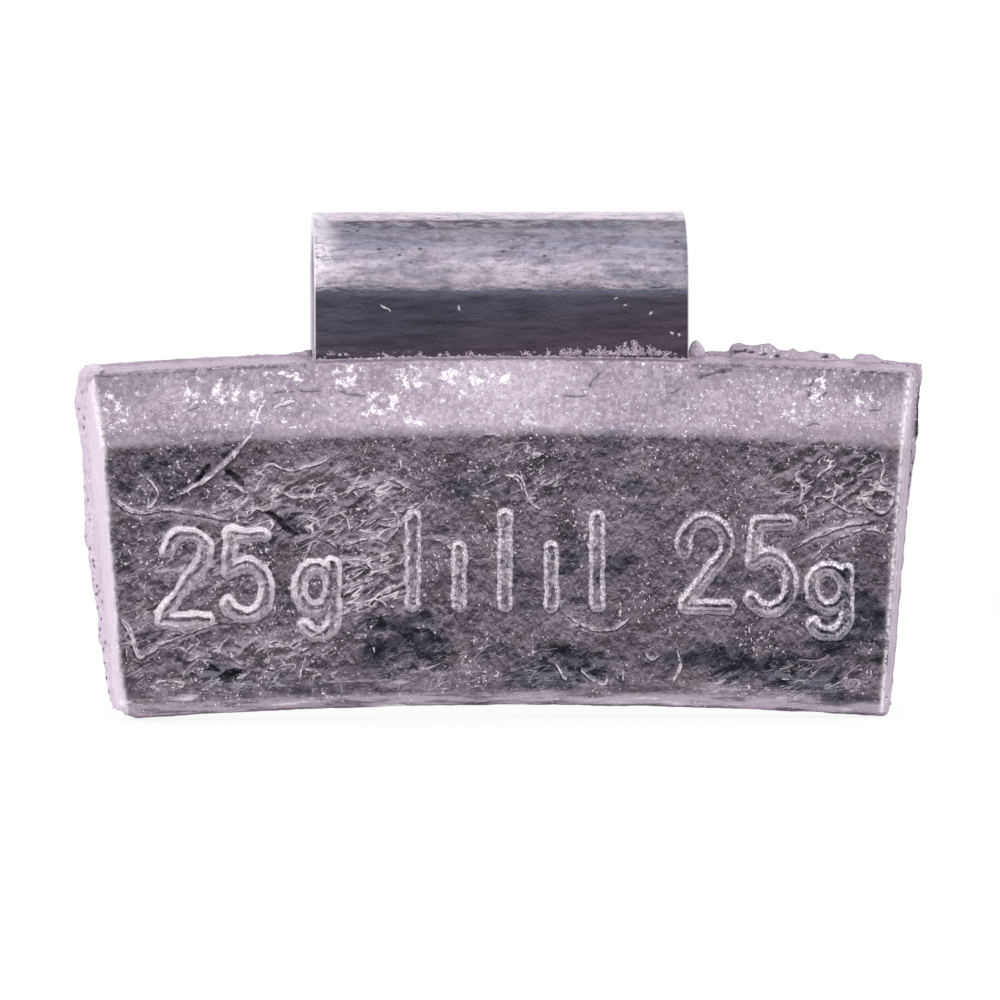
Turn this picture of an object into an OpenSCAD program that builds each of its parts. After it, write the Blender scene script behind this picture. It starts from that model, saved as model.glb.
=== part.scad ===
// Clip-on wheel balance weight: a lead alloy casting poured round a rolled spring steel clip.
// The origin is the axis of the clip's curl, where the edge of the rim sits. +Z points out of the
// wheel along its radius, X runs along the rim, and -Y is the marked front of the casting.

/* [Casting] */
// Length over the ends, along the top of the back face
body_len = 40; // [34:0.5:56]
// Height across the rim, from the back top edge to the foot
body_h = 16.7; // [14:0.1:24]
// Thickness at the ridge, the thickest part of the section
body_t = 3.95; // [3.4:0.05:6]
// Thickness at the foot
foot_t = 2.2; // [1.6:0.1:3.2]
// Depth of the narrow land along the top edge
land_t = 2.1; // [1.9:0.1:3]
// Fall of the land from its back edge to its front edge
land_fall = 0.35; // [0:0.05:0.8]
// Drop from the back top edge to the ridge
ridge_drop = 3.7; // [3:0.05:5.5]
// Height of the flat seat that lies against the rim
seat_h = 6.6; // [5.5:0.1:8]
// Radius of the arc that the back top edge follows along the rim
rim_r = 285; // [180:5:400]

/* [Ends and edges] */
// Slope of each end towards the wheel's centre, in degrees
end_slope = 4.3; // [2:0.1:8]
// Mould draft of each end, in degrees
end_draft = 8.3; // [4:0.1:12]
// Bevel along the front edge of each end
end_bevel = 0.35; // [0.1:0.05:0.6]
// Radius of the front edge of the foot
foot_round = 0.8; // [0.3:0.1:1.2]
// Radius along the ridge
ridge_round = 0.6; // [0.2:0.1:1.5]
// Radius of the front edge of the land
land_round = 0.25; // [0.1:0.05:0.5]
// Radius of the back edge of the foot
heel_round = 0.5; // [0.2:0.1:0.8]

/* [Clip] */
// Width of the spring strip
clip_w = 17.8; // [14:0.2:26]
// Thickness of the spring strip
clip_t = 1; // [0.7:0.05:1.2]
// Inner radius of the curl that takes the edge of the rim
curl_r = 2.65; // [2.4:0.05:4]
// Rise of the curl's axis above the back top edge of the casting
clip_rise = 2.9; // [2.6:0.05:5]
// Straight length of the lip behind the rim
lip_len = 4.4; // [3:0.1:7]
// Lean of the lip towards the casting, in degrees
lip_lean = 5; // [0:0.5:7]
// Straight length of the flared tip
tip_len = 0.9; // [0.4:0.1:2]
// Outward bend of the tip, in degrees
tip_flare = 35; // [10:1:50]
// Inner radius of the bend above the tip
tip_bend_r = 0.8; // [0.4:0.1:1.5]
// Radius of the tip's two corners
tip_corner_r = 1.2; // [0.5:0.1:2]
// Lead behind the strip
back_cover = 0.5; // [0.35:0.05:0.8]
// Depth of the tongue that the casting holds
tongue_len = 8; // [7:0.1:9]
// Cut-off at the tongue's two lower corners
tongue_corner = 1.4; // [0.5:0.1:2]
// Diameter of the two anchor holes
anchor_d = 3; // [2:0.1:4]
// Distance between the anchor holes
anchor_gap = 9.2; // [6:0.2:10]
// Depth of the anchor holes below the back top edge
anchor_drop = 5.5; // [4.5:0.1:6]

/* [Casting flash] */
// Thickness of the fin left at the mould's parting line
flash_t = 0.2; // [0.1:0.05:0.35]
// Width of the fin where it has no lumps
flash_w = 0.08; // [0.04:0.02:0.3]
// Raggedness of the fin's edge
flash_rough = 0.05; // [0:0.01:0.1]

/* [Hidden] */

lead_colour = [0.45, 0.44, 0.47];
steel_colour = [0.52, 0.55, 0.60];

// Steps round each small corner of the section
fillet_steps = 5;
// Sides of a full turn, for the curl and the holes and for the wide arcs along the rim
turn_fn = 96;
rim_fn = 720;
// Size of a block that is longer than the whole part
reach = 3 * (body_len + body_h);
// How far a cutter runs past the face that it cuts
past = 1;
// How far the casting is swept past each end before the ends are trimmed
sweep_spare = 4;
// How much the flash's ragged edge swells or shrinks its lumps
lump_rough = 0.3;

// Places across the rim: y from the front to the back, z from the rim's centre outwards
strip_back_y = -curl_r;
strip_front_y = -curl_r - clip_t;
back_y = strip_back_y + back_cover;
front_y = back_y - body_t;
land_y = back_y - land_t;
top_z = -clip_rise;
land_z = top_z - land_fall;
ridge_z = top_z - ridge_drop;
seat_z = top_z - seat_h;
foot_z = top_z - body_h;
heel_y = front_y + foot_t;
tongue_z = top_z - tongue_len;

// Centre of the arcs along the rim
arc_z = top_z - rim_r;
// Half the angle that is swept before the ends are trimmed
sweep_half = asin((body_len / 2 + sweep_spare) / rim_r);

// One end's trimming plane: a point on it and its outward normal, for the end at +X
end_drop = rim_r - sqrt(rim_r * rim_r - body_len * body_len / 4);
end_point = [body_len / 2, back_y, top_z - end_drop];
end_normal = [1, -tan(end_draft), -tan(end_slope)];
front_normal = [0, -1, 0];
slope_normal = [0, ridge_z - land_z, land_y - front_y];

// Lumps of flash along the top: place as a share of the half length, height, half width
top_lumps = [
    [-0.97, 0.22, 0.5], [-0.58, 0.22, 0.5], [-0.47, 0.28, 0.6], [0.465, 0.62, 0.28],
    [0.565, 0.62, 0.6], [0.635, 0.52, 0.45], [0.735, 0.36, 0.5], [0.79, 0.24, 0.35],
    [0.875, 0.46, 0.65], [0.955, 0.12, 0.5],
];
// Lumps down each end: place as a share of the height below the top, height, half width
left_lumps = [[0.05, 0.2, 0.5], [0.5, 0.3, 0.35], [0.64, 0.16, 0.7], [0.77, 0.12, 0.4]];
right_lumps = [[0.2, 0.1, 0.6], [0.33, 0.12, 0.4], [0.62, 0.06, 0.5]];

function unit(v) = v / norm(v);

// Turn that carries the X axis onto a direction
function turn_to(n) = [0, -atan2(n.z, norm([n.x, n.y])), atan2(n.y, n.x)];

// Points of the arc that rounds the corner b between its neighbours a and c
function fillet(a, b, c, r) =
    let (
        u = unit(a - b),
        w = unit(c - b),
        half = acos(u * w) / 2,
        centre = b + unit(u + w) * r / sin(half),
        from = b + u * r / tan(half) - centre,
        to = b + w * r / tan(half) - centre,
        start = atan2(from.y, from.x),
        sweep = (atan2(to.y, to.x) - start + 540) % 360 - 180
    )
    [for (i = [0 : fillet_steps])
        centre + r * [cos(start + sweep * i / fillet_steps), sin(start + sweep * i / fillet_steps)]];

// Outline from corners [x, y, radius], with each corner rounded
function rounded(corners) =
    let (n = len(corners), p = [for (c = corners) [c.x, c.y]])
    [for (i = [0 : n - 1])
        each corners[i].z > 0
            ? fillet(p[(i + n - 1) % n], p[i], p[(i + 1) % n], corners[i].z)
            : [p[i]]];

// Place [y, z] across the rim as a place beside the wheel's axis
function beside_axis(y, z) = [z - arc_z, -y];

// Section across the rim, from the back top edge round by the front
section = rounded([
    [each beside_axis(back_y, top_z), 0],
    [each beside_axis(land_y, land_z), land_round],
    [each beside_axis(front_y, ridge_z), ridge_round],
    [each beside_axis(front_y, foot_z), foot_round],
    [each beside_axis(heel_y, foot_z), heel_round],
    [each beside_axis(back_y, seat_z), 0],
]);

// Thin skin along the seat and the relief below it, where the mould halves part
flash_skin = [
    beside_axis(back_y, top_z + past),
    beside_axis(back_y - flash_t, top_z + past),
    beside_axis(back_y - flash_t, seat_z),
    beside_axis(heel_y - flash_t, foot_z + heel_round),
    beside_axis(heel_y, foot_z + heel_round),
    beside_axis(back_y, seat_z),
];

// Height of the flash at a place along an edge, from its lumps and its ragged edge
function lump(d, height, half) = height * exp(-pow(d / half, 4));
function flash_at(place, lumps, scale, ragged) =
    flash_w + (1 + ragged) * flash_rough
        + (1 + lump_rough * ragged) * max([for (l = lumps) lump(place - l.x * scale, l.y, l.z)]);

// Back edge of one end at a share of the height, before flash
function end_edge(share) =
    let (
        z = end_point.z - share * (end_point.z - foot_z - heel_round),
        below = max(0, seat_z - z) / (seat_z - foot_z),
        y = back_y - below * (back_y - heel_y)
    )
    [end_point.x + (y - back_y) * tan(end_draft) - (end_point.z - z) * tan(end_slope), z];

top_steps = 110;
end_steps = 40;
ragged_top = rands(-1, 1, top_steps + 1, 11);
ragged_right = rands(-1, 1, end_steps + 1, 23);
ragged_left = rands(-1, 1, end_steps + 1, 35);

// Ragged outline of the flash, seen from the front
flash_outline = [
    for (i = [0 : top_steps])
        let (
            x = (2 * i / top_steps - 1) * body_len / 2,
            h = abs(x) < clip_w / 2 ? 0 : flash_at(x, top_lumps, body_len / 2, ragged_top[i]),
            r = rim_r + h
        )
        [x, arc_z + sqrt(r * r - x * x)],
    for (i = [0 : end_steps])
        let (
            p = end_edge(i / end_steps),
            h = flash_at(i / end_steps * body_h, right_lumps, body_h, ragged_right[i])
        )
        [p.x + h, p.y],
    for (i = [end_steps : -1 : 0])
        let (
            p = end_edge(i / end_steps),
            h = flash_at(i / end_steps * body_h, left_lumps, body_h, ragged_left[i])
        )
        [-p.x - h, p.y],
];

// Everything beyond a plane, given a point on it and its outward normal
module beyond(point, normal) {
    translate(point)
        rotate(turn_to(normal))
            translate([0, -reach / 2, -reach / 2])
                cube(reach);
}

// Carries an outline beside the wheel's axis along the rim
module along_rim(outline) {
    translate([0, 0, arc_z])
        rotate([90, 0, 0])
            rotate([0, 0, 90 - sweep_half])
                rotate_extrude(angle = 2 * sweep_half, $fn = rim_fn)
                    polygon(outline);
}

// What is trimmed off the end at +X: the end itself and the bevels along its front edges
module end_trim() {
    front_edge = end_point + [(front_y - back_y) * tan(end_draft), front_y - back_y, 0];
    land_edge = end_point + [
        (land_y - back_y) * tan(end_draft) - land_fall * tan(end_slope),
        land_y - back_y,
        -land_fall
    ];
    front_bevel = unit(end_normal) + front_normal;
    slope_bevel = unit(end_normal) + unit(slope_normal);
    beyond(end_point, end_normal);
    beyond(front_edge - unit(front_bevel) * end_bevel / sqrt(2), front_bevel);
    beyond(land_edge - unit(slope_bevel) * end_bevel / sqrt(2), slope_bevel);
}

module flash() {
    intersection() {
        along_rim(flash_skin);
        translate([0, back_y + past, 0])
            rotate([90, 0, 0])
                linear_extrude(body_t + past)
                    polygon(flash_outline);
    }
}

// Part of a ring between two angles, in the plane
module ring_part(inner, outer, from, to) {
    far = 2 * outer;
    steps = 4;
    open = 360 - (to - from);
    difference() {
        circle(outer, $fn = turn_fn);
        circle(inner, $fn = turn_fn);
        polygon([
            [0, 0],
            for (i = [0 : steps]) far * [cos(to + open * i / steps), sin(to + open * i / steps)]
        ]);
    }
}

// Edge view of the strip: the tongue, the curl, the lip and its flared tip
module strip_profile() {
    translate([strip_front_y, tongue_z])
        square([clip_t, -tongue_z]);
    ring_part(curl_r, curl_r + clip_t, -lip_lean, 180);
    rotate(-lip_lean) {
        translate([curl_r, -lip_len])
            square([clip_t, lip_len]);
        translate([curl_r + clip_t + tip_bend_r, -lip_len]) {
            ring_part(tip_bend_r, tip_bend_r + clip_t, 180, 180 + tip_flare);
            rotate(tip_flare)
                translate([-tip_bend_r - clip_t, -tip_len])
                    square([clip_t, tip_len]);
        }
    }
}

// Lowest point of the lip's tip
function tip_reach() =
    let (
        bend = tip_bend_r + clip_t,
        inner = [curl_r + bend, -lip_len] + [
            -bend * cos(tip_flare) + tip_len * sin(tip_flare),
            -bend * sin(tip_flare) - tip_len * cos(tip_flare)
        ]
    )
    inner.y * cos(lip_lean) - inner.x * sin(lip_lean);

// Rounds the tip's corner at +X
module tip_corner_cut() {
    z = tip_reach();
    translate([clip_w / 2 - tip_corner_r, 0, z + tip_corner_r])
        rotate([-90, 0, 0])
            difference() {
                translate([0, 0, past])
                    cube([tip_corner_r + past, tip_corner_r + past, reach - 2 * past]);
                cylinder(h = reach, r = tip_corner_r, $fn = turn_fn);
            }
}

module tongue_corner_cut() {
    translate([clip_w / 2, strip_front_y - past, tongue_z])
        rotate([0, 45, 0])
            translate([-tongue_corner / sqrt(2), 0, -reach / 2])
                cube([reach, clip_t + 2 * past, reach]);
}

module anchor_hole() {
    translate([anchor_gap / 2, strip_front_y - past, top_z - anchor_drop])
        rotate([-90, 0, 0])
            cylinder(h = clip_t + 2 * past, d = anchor_d, $fn = turn_fn);
}

// The whole strip, shared by the clip and by the pocket that the casting leaves round it
module strip() {
    difference() {
        rotate([90, 0, 90])
            linear_extrude(clip_w, center = true)
                strip_profile();
        for (side = [0, 1])
            mirror([side, 0, 0]) {
                tip_corner_cut();
                tongue_corner_cut();
                anchor_hole();
            }
    }
}

module lead_body() {
    color(lead_colour)
        difference() {
            union() {
                difference() {
                    along_rim(section);
                    for (side = [0, 1])
                        mirror([side, 0, 0])
                            end_trim();
                }
                flash();
            }
            strip();
        }
}

module spring_clip() {
    color(steel_colour)
        strip();
}

lead_body();
spring_clip();
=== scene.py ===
"""Looks of a clip-on wheel balance weight: a lead casting poured round a rolled steel clip."""

import math

import bmesh
import bpy
import numpy as np
from mathutils import Matrix, Vector, noise


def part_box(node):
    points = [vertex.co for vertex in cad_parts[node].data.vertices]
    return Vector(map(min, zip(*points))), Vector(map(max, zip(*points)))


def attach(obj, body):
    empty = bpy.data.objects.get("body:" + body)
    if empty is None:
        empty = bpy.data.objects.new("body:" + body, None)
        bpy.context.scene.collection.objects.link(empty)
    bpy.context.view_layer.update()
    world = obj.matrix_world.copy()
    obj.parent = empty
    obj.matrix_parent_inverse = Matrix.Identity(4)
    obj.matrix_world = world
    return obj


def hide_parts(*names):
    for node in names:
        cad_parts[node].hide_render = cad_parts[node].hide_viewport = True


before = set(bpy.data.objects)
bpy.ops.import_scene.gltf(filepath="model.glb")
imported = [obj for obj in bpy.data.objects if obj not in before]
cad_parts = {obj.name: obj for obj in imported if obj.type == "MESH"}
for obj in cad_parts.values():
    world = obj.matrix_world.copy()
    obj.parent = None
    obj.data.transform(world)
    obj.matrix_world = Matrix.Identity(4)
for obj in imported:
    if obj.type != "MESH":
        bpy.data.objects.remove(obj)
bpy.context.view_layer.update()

# Lengths in this script are millimetres on the part's own axes, until a mesh is finished
MM = 0.001

# Camera: where the photographer stood, and how much of the scene the square picture takes in
CAMERA_AZIMUTH = math.radians(-3)
CAMERA_ELEVATION = math.radians(3.5)
CAMERA_DISTANCE = 450
PICTURE_PIXELS = 1000
PICTURE_WIDTH = 47.5
PICTURE_CENTRE = Vector((-0.135, -4.5, -9.9))
SENSOR_WIDTH = 36

# Casting: the section across the rim, and its arc along the rim
BODY_LEN = 40
BODY_H = 16.7
LAND_FALL = 0.35
LAND_T = 2.1
RIDGE_DROP = 3.7
SEAT_H = 6.6
FOOT_T = 2.2
RIM_R = 285
CLIP_RISE = 2.9
LAND_ROUND, RIDGE_ROUND, TOE_ROUND, HEEL_ROUND = 0.25, 0.6, 0.8, 0.5
END_SLOPE = math.tan(math.radians(4.3))
END_DRAFT = math.tan(math.radians(8.3))
END_ROUND = 0.3
LEFT_FOOT_ROUND = 1.05
LEFT_TOP_ROUND = 0.7

lead_low, lead_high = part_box("lead_body")
FRONT_Y = lead_low.y / MM
BACK_Y = lead_high.y / MM
LAND_Y = BACK_Y - LAND_T
HEEL_Y = FRONT_Y + FOOT_T
TOP_Z = -CLIP_RISE
LAND_Z = TOP_Z - LAND_FALL
RIDGE_Z = TOP_Z - RIDGE_DROP
SEAT_Z = TOP_Z - SEAT_H
FOOT_Z = TOP_Z - BODY_H
ARC_Z = TOP_Z - RIM_R
END_Z = ARC_Z + math.sqrt(RIM_R**2 - BODY_LEN**2 / 4)

# Clip: one strip of spring steel
CLIP_W = 17.8
CLIP_T = 1.0
CURL_R = 2.65
LIP_LEN = 4.4
LIP_LEAN = math.radians(5)
TIP_LEN = 0.9
TIP_FLARE = math.radians(35)
TIP_BEND_R = 0.8
TIP_CORNER_R = 1.2
TONGUE_LEN = 8
TONGUE_CORNER = 1.4

# Places on the unit cube that are closer than this are the same, and the least length to divide by
NEAR_ZERO = 1e-6
LEAST_LENGTH = 1e-9


def unit(v):
    return v / np.linalg.norm(v)


def smooth(x, low, high):
    """Rises smoothly from 0 at low to 1 at high."""
    t = np.clip((x - low) / (high - low), 0, 1)
    return t * t * (3 - 2 * t)


# Camera


def camera_axes():
    """Directions to the right, up and away from the camera, in the picture's frame."""
    away = Vector(
        (
            -math.sin(CAMERA_AZIMUTH) * math.cos(CAMERA_ELEVATION),
            math.cos(CAMERA_AZIMUTH) * math.cos(CAMERA_ELEVATION),
            -math.sin(CAMERA_ELEVATION),
        )
    )
    right = away.cross(Vector((0, 0, 1))).normalized()
    return right, right.cross(away), away


def make_camera():
    right, up, away = camera_axes()
    camera = bpy.data.objects.new("camera", bpy.data.cameras.new("camera"))
    camera.data.sensor_width = SENSOR_WIDTH
    camera.data.sensor_fit = "HORIZONTAL"
    camera.data.lens = SENSOR_WIDTH * CAMERA_DISTANCE / PICTURE_WIDTH
    camera.data.clip_start = 0.01
    camera.data.clip_end = 50
    turn = Matrix((right, up, -away)).transposed().to_4x4()
    camera.matrix_world = Matrix.Translation((PICTURE_CENTRE - away * CAMERA_DISTANCE) * MM) @ turn
    bpy.context.scene.collection.objects.link(camera)
    bpy.context.scene.camera = camera


def at_pixel(px, py, y):
    """Place [x, z] where the picture's pixel falls on the upright plane at depth y."""
    right, up, away = camera_axes()
    step = PICTURE_WIDTH / PICTURE_PIXELS
    aside, above = (px - PICTURE_PIXELS / 2) * step, (PICTURE_PIXELS / 2 - py) * step
    ray = away * CAMERA_DISTANCE + right * aside + up * above
    eye = PICTURE_CENTRE - away * CAMERA_DISTANCE
    p = eye + ray * ((y - eye.y) / ray.y)
    return p.x, p.z


def on_face(points, y=FRONT_Y):
    """Places [x, z] of a list of pixels on the front face, or at another depth."""
    return np.array([at_pixel(px, py, y) for px, py in points])


# Casting: section and sweep

ARC_STEPS = 8
# Shares of the height over which the left end's foot and top corners are rounded more
FOOT_CORNER = (0.86, 1)
TOP_CORNER = (0.1, 0)


def rounded(before, corner, after, radius):
    """Points of the arc that rounds a corner between its neighbours."""
    before, corner, after = (np.array(p, float) for p in (before, corner, after))
    u, w = unit(before - corner), unit(after - corner)
    half = math.acos(u @ w) / 2
    centre = corner + unit(u + w) * radius / math.sin(half)
    start, end = (corner + d * radius / math.tan(half) - centre for d in (u, w))
    first = math.atan2(start[1], start[0])
    turn = (math.atan2(end[1], end[0]) - first + math.pi) % (2 * math.pi) - math.pi
    angles = first + turn * np.arange(ARC_STEPS + 1) / ARC_STEPS
    return [centre + radius * np.array((math.cos(a), math.sin(a))) for a in angles]


def section_chains():
    """The section's front, back, land and foot as lines of points [y, z]."""
    top, land, ridge = (BACK_Y, TOP_Z), (LAND_Y, LAND_Z), (FRONT_Y, RIDGE_Z)
    toe, heel, seat = (FRONT_Y, FOOT_Z), (HEEL_Y, FOOT_Z), (BACK_Y, SEAT_Z)
    land_arc = rounded(top, land, ridge, LAND_ROUND)
    ridge_arc = rounded(land, ridge, toe, RIDGE_ROUND)
    toe_arc = rounded(ridge, toe, heel, TOE_ROUND)
    heel_arc = rounded(toe, heel, seat, HEEL_ROUND)
    mid = len(land_arc) // 2
    front = land_arc[mid:] + ridge_arc + toe_arc[: mid + 1]
    back = [top, seat] + heel_arc[mid:][::-1]
    land_line = [top] + land_arc[: mid + 1]
    foot_line = (toe_arc[mid:] + heel_arc[: mid + 1])[::-1]
    return [np.array(line, float) for line in (front, back, land_line, foot_line)]


FRONT, BACK, LAND, FOOT = section_chains()


def along(line, share):
    """Points at shares of a line's length."""
    steps = np.linalg.norm(np.diff(line, axis=0), axis=1)
    places = np.concatenate(([0], np.cumsum(steps))) / steps.sum()
    return np.stack([np.interp(share, places, line[:, i]) for i in (0, 1)], axis=-1)


def end_x(y, z):
    """Half length at a depth and height: the ends are drafted and slope to the wheel's centre."""
    return BODY_LEN / 2 + (y - BACK_Y) * END_DRAFT - (END_Z - z) * END_SLOPE


def in_section(t, s, front, back, land, foot):
    """Places [y, z] between points on the four sides, at shares t to the front and s to the foot."""
    t, s = t[:, None], s[:, None]
    return (
        (1 - t) * back
        + t * front
        + (1 - s) * land
        + s * foot
        - (1 - t) * ((1 - s) * BACK[0] + s * BACK[-1])
        - t * ((1 - s) * FRONT[0] + s * FRONT[-1])
    )


def casting_shape(cube):
    """Carries points on a unit cube to the casting's plain surface."""
    share_x, t, s = 2 * cube[:, 0], 0.5 - cube[:, 1], 0.5 - cube[:, 2]
    front, back, land, foot = along(FRONT, s), along(BACK, s), along(LAND, t), along(FOOT, t)
    flat = in_section(t, s, front, back, land, foot)
    # Distances from the end, along the rim, and from the section's edge, across it
    half = end_x(flat[:, 0], flat[:, 1])
    from_end = half * (1 - np.abs(share_x))
    depth = np.linalg.norm(front - back, axis=1)
    height = np.linalg.norm(foot - land, axis=1)
    spans = np.stack([(1 - t) * depth, s * height, (1 - s) * height])
    nearest = np.argmin(spans, axis=0)
    from_edge = spans.min(axis=0)
    inwards = np.stack([(back - front) / depth[:, None], (foot - land) / height[:, None]])
    inwards = np.where(
        (nearest == 0)[:, None], inwards[0], np.where((nearest == 1)[:, None], inwards[1], -inwards[1])
    )
    left = share_x < 0
    radius = END_ROUND + np.where(
        left,
        (LEFT_FOOT_ROUND - END_ROUND) * smooth(s, *FOOT_CORNER)
        + (LEFT_TOP_ROUND - END_ROUND) * smooth(s, *TOP_CORNER),
        0,
    )
    on_back = (t < NEAR_ZERO) & (from_end > NEAR_ZERO) & (s > NEAR_ZERO) & (s < 1 - NEAR_ZERO)
    gap_a, gap_b = np.minimum(from_end - radius, 0), np.minimum(from_edge - radius, 0)
    length = np.maximum(np.hypot(gap_a, gap_b), LEAST_LENGTH)
    new_end = np.maximum(from_end, radius) + radius * gap_a / length
    new_edge = np.maximum(from_edge, radius) + radius * gap_b / length
    rounds = ~on_back & (gap_a < 0) & (gap_b < 0)
    from_end = np.where(rounds, new_end, from_end)
    shift = np.where(rounds, new_edge - from_edge, 0)
    flat = flat + inwards * shift[:, None]
    # The arc along the rim, whose ends slope with the height that it gives
    x = np.sign(share_x) * (half - from_end)
    reach = flat[:, 1] - ARC_Z
    for _ in range(2):
        z = ARC_Z + np.sqrt(reach**2 - x**2)
        x = np.sign(share_x) * (end_x(flat[:, 0], z) - from_end)
    return np.stack([x, flat[:, 0], ARC_Z + np.sqrt(reach**2 - x**2)], axis=-1)


# Cast marks, as centre lines of raised strokes, by the photograph's pixels

STROKE_STEPS = 14
STROKE_W = 0.57
STROKE_H = 0.15
STROKE_FLANK = 0.18


def arc(cx, cy, rx, ry, start, end):
    """Pixels along part of an ellipse, its angles in degrees against the clock."""
    angles = np.radians(np.linspace(start, end, STROKE_STEPS + 1))
    return [(cx + rx * math.cos(a), cy - ry * math.sin(a)) for a in angles]


RIGHT_MASS = [
    arc(705, 543, 22, 23, 200, -25) + [(686, 602), (686, 607), (729, 607)],
    [(790, 523), (757, 523), (753, 563)] + arc(769, 583, 22, 27, 128, -145),
    arc(828, 588, 17, 20, 0, 360),
    [(846, 571), (847, 614)] + arc(829, 614, 18, 20, 0, -150),
]
LEFT_MASS = [
    arc(186, 553, 19, 20, 175, -30) + [(164, 612), (165, 621), (207, 620)],
    [(262, 535), (230, 535), (229, 572)] + arc(246, 590, 21, 26, 125, -150),
    arc(315, 588, 16, 22, 0, 360),
    [(333, 563), (334, 614)] + arc(318, 616, 16, 18, 0, -150),
]
# A plain scale of tick bars in the middle, long at its ends and centre
TICK_PLACES = [413, 459, 505, 551, 597]
TICK_FOOT, LONG_TICK_TOP, SHORT_TICK_TOP = 605, 517, 548
TICKS = [
    [(px, TICK_FOOT), (px, SHORT_TICK_TOP if i % 2 else LONG_TICK_TOP)]
    for i, px in enumerate(TICK_PLACES)
]

# Laps where the cooling metal folded over, by the photograph's pixels: line, height, half width
FOLDS = [
    ([(266, 398), (253, 429), (239, 449), (221, 468), (198, 484), (170, 498)], 0.1, 0.085),
    ([(100, 482), (104, 489), (117, 502), (136, 511), (163, 509), (198, 514), (236, 522)], 0.09, 0.08),
    (
        [(111, 611), (123, 622), (131, 634), (137, 653), (142, 658), (150, 653), (160, 643), (180, 637)],
        0.08,
        0.08,
    ),
    ([(142, 474), (152, 482), (158, 494), (150, 505), (140, 508)], 0.06, 0.05),
    ([(795, 549), (816, 535), (850, 524), (879, 519)], 0.08, 0.08),
    ([(804, 567), (824, 546), (843, 536), (870, 528), (887, 536)], 0.07, 0.05),
    ([(800, 467), (796, 480), (807, 488), (800, 502)], 0.09, 0.06),
    ([(817, 478), (824, 471), (836, 463)], 0.08, 0.05),
    ([(828, 500), (850, 512), (872, 514)], 0.06, 0.045),
    ([(860, 492), (868, 505), (882, 513), (890, 505), (893, 494), (883, 489), (870, 490)], 0.09, 0.09),
    ([(880, 452), (884, 466), (881, 480), (890, 486)], 0.06, 0.05),
    ([(564, 612), (580, 624), (600, 630), (620, 626), (637, 611)], 0.05, 0.06),
    ([(246, 474), (262, 468), (274, 464), (290, 470), (315, 464), (345, 450)], 0.06, 0.05),
    ([(330, 500), (352, 488), (380, 482)], 0.06, 0.05),
    ([(258, 506), (270, 498), (285, 492)], 0.06, 0.05),
    ([(250, 660), (262, 648), (290, 645), (318, 632), (345, 612), (372, 600)], 0.07, 0.055),
    ([(262, 648), (278, 640), (300, 652), (316, 640)], 0.05, 0.045),
    ([(168, 640), (185, 634), (215, 624), (240, 622)], 0.06, 0.05),
    ([(186, 662), (202, 656), (214, 658)], 0.07, 0.055),
    ([(180, 680), (192, 672), (200, 678)], 0.06, 0.05),
    ([(152, 692), (162, 680), (184, 684), (170, 692)], 0.06, 0.055),
    ([(230, 652), (236, 662), (246, 664)], 0.07, 0.05),
    ([(302, 566), (310, 546), (322, 538), (338, 548)], 0.08, 0.055),
    ([(338, 548), (352, 542), (372, 539), (392, 543)], 0.07, 0.05),
    ([(345, 566), (368, 560), (398, 548)], 0.07, 0.08),
    ([(348, 612), (372, 600), (398, 584)], 0.08, 0.1),
    ([(676, 647), (681, 666), (671, 685)], 0.04, 0.05),
    ([(580, 668), (592, 680), (604, 684), (608, 672)], 0.07, 0.055),
    ([(555, 664), (562, 676), (568, 680)], 0.06, 0.05),
    ([(646, 652), (652, 660), (660, 655)], 0.07, 0.05),
    ([(520, 470), (527, 490), (534, 505), (545, 512)], 0.05, 0.05),
]
CRACKS = [
    ([(262, 510), (275, 516), (288, 530), (304, 535)], 0.02, 0.15),
    ([(223, 470), (233, 476), (245, 487)], 0.02, 0.17),
    ([(192, 486), (206, 470), (214, 462)], 0.02, 0.1),
    ([(797, 659), (818, 658), (831, 652)], 0.06, 0.05),
]
# On the sloping band above the ridge
BAND_FOLDS = [
    ([(272, 408), (284, 404), (296, 400)], 0.1, 0.075),
    ([(187, 378), (186, 386), (189, 398)], 0.06, 0.07),
    ([(406, 410), (412, 418), (418, 428)], 0.05, 0.06),
    ([(524, 410), (528, 419), (531, 430)], 0.05, 0.05),
    ([(344, 368), (342, 378), (350, 386)], 0.03, 0.05),
    ([(101, 430), (106, 438), (110, 446)], 0.06, 0.06),
]
BAND_CRACKS = [
    ([(262, 395), (280, 392), (305, 392), (330, 389)], 0.05, 0.04),
    ([(332, 387), (344, 392), (360, 396), (384, 398)], 0.06, 0.045),
    ([(560, 398), (566, 397), (592, 394)], 0.05, 0.045),
    ([(691, 380), (706, 375), (722, 371.5), (740, 369.5), (762, 368.5)], 0.1, 0.05),
    ([(588, 388), (596, 378), (603, 371)], 0.05, 0.05),
    ([(843, 404), (854, 398)], 0.06, 0.06),
    ([(806, 398), (813, 392), (818, 391)], 0.05, 0.06),
    ([(818, 399), (828, 389)], 0.05, 0.06),
    ([(808, 388), (815, 379), (823, 376)], 0.05, 0.07),
    ([(800, 428), (811, 423), (822, 424)], 0.04, 0.05),
    ([(872, 372), (884, 376)], 0.04, 0.05),
    ([(668, 394), (682, 387)], 0.04, 0.05),
    ([(868, 411), (884, 409)], 0.04, 0.045),
    ([(184, 411), (200, 407)], 0.05, 0.045),
]
BAND_Y = -5.1
BAND_PITS = [
    (494, 376), (558, 369), (601, 371), (112, 410), (120, 413), (248, 413),
    (811, 379), (820, 384), (809, 394),
]
FACE_PITS = [(650, 655), (604, 680), (240, 552), (570, 672), (118, 602), (243, 592), (560, 600)]
PIT_R = 0.11
PIT_DEPTH = 0.07
# Fields that hold distances, and the largest one
DISTANCE_FIELDS = ("stroke_far", "fold", "crack")
FIELD_REACH = 4.0
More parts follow.
